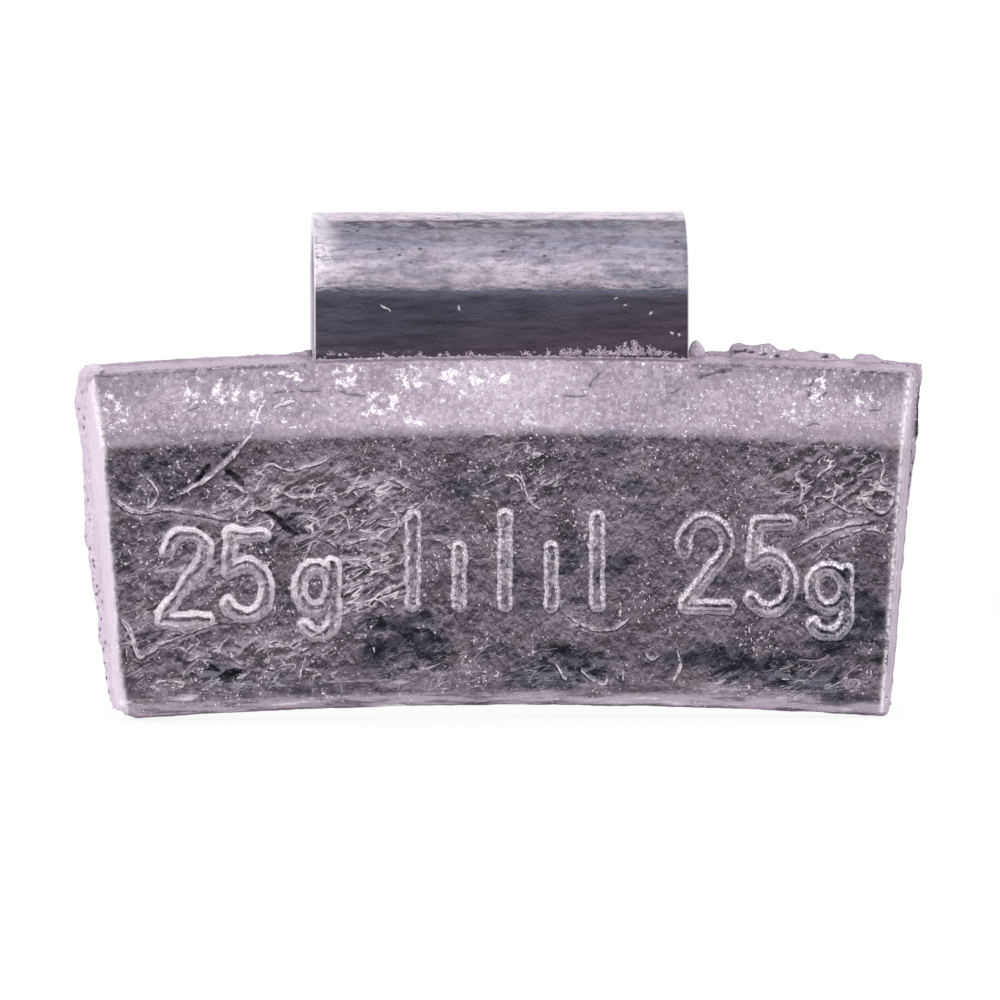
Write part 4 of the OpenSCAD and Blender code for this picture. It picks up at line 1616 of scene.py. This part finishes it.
        # Painted highlight: the lip's left end, lit from the left
        lip = self.ramp(self.aside, 0.7 - CLIP_W / 2, 0.3 - CLIP_W / 2)
        lip = self.times(lip, self.ramp(self.depth, -0.5, 0.5))
        wear_and_highlights = self.most(scuffs, specks, self.times(sheared, 0.6), self.times(lip, 0.9))
        self.coat(STEEL_BRIGHT, wear_and_highlights)
        rough = self.ramp(self.noise(self.coords((0.15, 1, 1)), 3, 4, 0.6), 0.3, 0.7, 0.2, 0.3)
        rolled = self.less(self.noise(self.coords((0.4, 1, 1)), 4, 4, 0.6), 0.5)
        bumps = self.bump(self.times(rolled, self.upper), 0.02)
        bumps = self.bump(self.noise(self.place, 7, 3, 0.6), 0.004, bumps)
        waves = self.less(self.noise(self.coords((0.5, 1, 1)), 0.5, 2, 0.5), 0.5)
        bumps = self.bump(self.times(waves, self.plus(self.times(self.upper, 0.7), 0.3)), 0.03, bumps)
        metallic = self.less(1.0, self.times(self.most(specks, lip, scuffs), 0.8))
        return self.finish(metallic, self.plus(rough, self.times(wear_and_highlights, 0.35)), bumps)


def steel_material():
    m = Steel("plated_spring_steel")
    m.lay_ground()
    m.lay_curl()
    m.lay_neck()
    m.lay_dust()
    return m.finish_clip()


# Stage

FLOOR_R = 150
FLOOR_FRONT = 4
SHADOW_R = 90
SHADOW_SHARE = 0.88


def make_floor():
    """A small pale floor under the foot that fades into the white background."""
    bm = bmesh.new()
    bmesh.ops.create_circle(bm, cap_ends=True, radius=FLOOR_R, segments=96)
    place = (0, FRONT_Y - FLOOR_FRONT + FLOOR_R, lead_low.z / MM - 0.02)
    bmesh.ops.translate(bm, vec=place, verts=bm.verts)
    floor = finish_mesh(bm, "floor")
    m = Shader("white_floor")
    m.put(m.bsdf.inputs["Base Color"], (0.95, 0.95, 0.95, 1))
    m.put(m.bsdf.inputs["Roughness"], 0.9)
    m.put(m.bsdf.inputs["Specular IOR Level"], 0)
    glow = m.node("Emission", Color=(1, 1, 1, 1), Strength=1.0)
    rays = m.node("LightPath")
    kinds = ("Is Camera Ray", "Is Glossy Ray", "Is Transmission Ray")
    seen = m.most(*(rays.outputs[kind] for kind in kinds))
    away = m.node("VectorMath", Vector=m.coords())
    away.operation = "LENGTH"
    shown = m.times(seen, m.ramp(away.outputs["Value"], SHADOW_R / 3, SHADOW_R, SHADOW_SHARE, 1.0))
    blend = m.node("MixShader", Fac=shown)
    m.tree.links.new(m.bsdf.outputs[0], blend.inputs[1])
    m.tree.links.new(glow.outputs[0], blend.inputs[2])
    m.tree.links.new(blend.outputs[0], m.tree.nodes["Material Output"].inputs["Surface"])
    floor.data.materials.append(m.material)


WORLD_LIGHT = 1.2
WORLD_DARK = 0.06
# The dark of the room: it fades out by this height, and between these turns towards the camera
ROOM_TOP = 0.06
ROOM_SIDES = (-0.5, -0.75)

LAMP_TARGET = (0, -4, -10)
# Soft boxes: name, place, size, and how bright they are to look at, where 1 is white
LAMPS = [
    ("top_box", (0, -170, 230), (130, 220), 0.4),
    ("left_box", (-260, -40, 60), (160, 220), 0.8),
    ("right_box", (260, -40, 60), (160, 220), 0.25),
]


def make_world():
    """A white tent all round, with the dark of the room low behind the camera."""
    world = bpy.data.worlds.new("tent")
    world.use_nodes = True
    bpy.context.scene.world = world
    nodes = Nodes(world.node_tree)
    split = nodes.node("SeparateXYZ", Vector=nodes.node("TexCoord").outputs["Generated"])
    low = nodes.ramp(split.outputs["Z"], ROOM_TOP, 0.0)
    dark = nodes.times(low, nodes.ramp(split.outputs["Y"], *ROOM_SIDES))
    seen = nodes.node("LightPath").outputs["Is Camera Ray"]
    shown = nodes.between(seen, nodes.between(dark, WORLD_LIGHT, WORLD_DARK), 1.0)
    background = nodes.tree.nodes["Background"]
    nodes.put(background.inputs["Color"], (1, 1, 1, 1))
    nodes.put(background.inputs["Strength"], shown)


def make_lamp(name, place, size, radiance):
    lamp = bpy.data.objects.new(name, bpy.data.lights.new(name, "AREA"))
    lamp.data.shape = "RECTANGLE"
    lamp.data.size, lamp.data.size_y = (s * MM for s in size)
    lamp.data.energy = radiance * math.pi * lamp.data.size * lamp.data.size_y
    at = Vector(place) * MM
    lamp.location = at
    lamp.rotation_euler = (Vector(LAMP_TARGET) * MM - at).to_track_quat("-Z", "Y").to_euler()
    bpy.context.scene.collection.objects.link(lamp)


def dress(piece, material, slot, *nodes):
    """Gives a piece its finish and its place on the part."""
    piece.data.materials.append(material)
    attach(piece, "root")
    if nodes:
        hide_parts(*nodes)


# How pale each piece of flash is, where it isn't as dark as most of it; the left end's flash is paler as a
# painted highlight of the light from the left
FLASH_PALE = 0.25
PALENESS = {"flash_left_end": 0.75, "lead_corner_lump": 0.75, "lead_drop": 0.55, "lead_crystals": 1.0}
# Gaps at the clip and at the left end, where the flash along the top stops
CLIP_GAP = 0.1
LEFT_GAP = 0.2
# Drops of lead on the parting line: name, pixel, depth, half sizes, seed of their shape
LUMPS = [
    ("lead_drop", (697, 353), BACK_Y - 0.3, (0.36, 0.28, 0.62), 137),
    ("lead_corner_lump", (92, 378), BACK_Y - 1.05, (0.66, 1.0, 0.66), 139),
]

make_camera()
lead = lead_material("cast_lead")
flash_lead = {
    pale: lead_material(f"flash_lead_{round(100 * pale)}", pale)
    for pale in sorted({FLASH_PALE, *PALENESS.values()})
}
steel = steel_material()

dress(make_casting(), lead, "lead", "lead_body")
dress(make_clip(), steel, "spring_steel", "spring_clip")
half_len, half_clip = BODY_LEN / 2, CLIP_W / 2 + CLIP_GAP
for piece in (
    top_fin("flash_top_left", LEFT_GAP - half_len, -half_clip, TOP_LEFT_OUTLINE, root=0.5, seed=101),
    top_fin("flash_top_right", half_clip, half_len, TOP_RIGHT_OUTLINE, root=0.7, seed=107),
    end_fin("flash_left_end", -1, LEFT_END_OUTLINE, root=1.3, seed=113),
    end_fin("flash_right_end", 1, RIGHT_END_OUTLINE, root=0.6, seed=127),
    *(make_lump(*lump) for lump in LUMPS),
    make_frills(),
    make_crystals(),
):
    dress(piece, flash_lead[PALENESS.get(piece.name, FLASH_PALE)], "lead")

make_floor()
make_world()
for lamp in LAMPS:
    make_lamp(*lamp)

bpy.context.scene.view_settings.view_transform = "Standard"
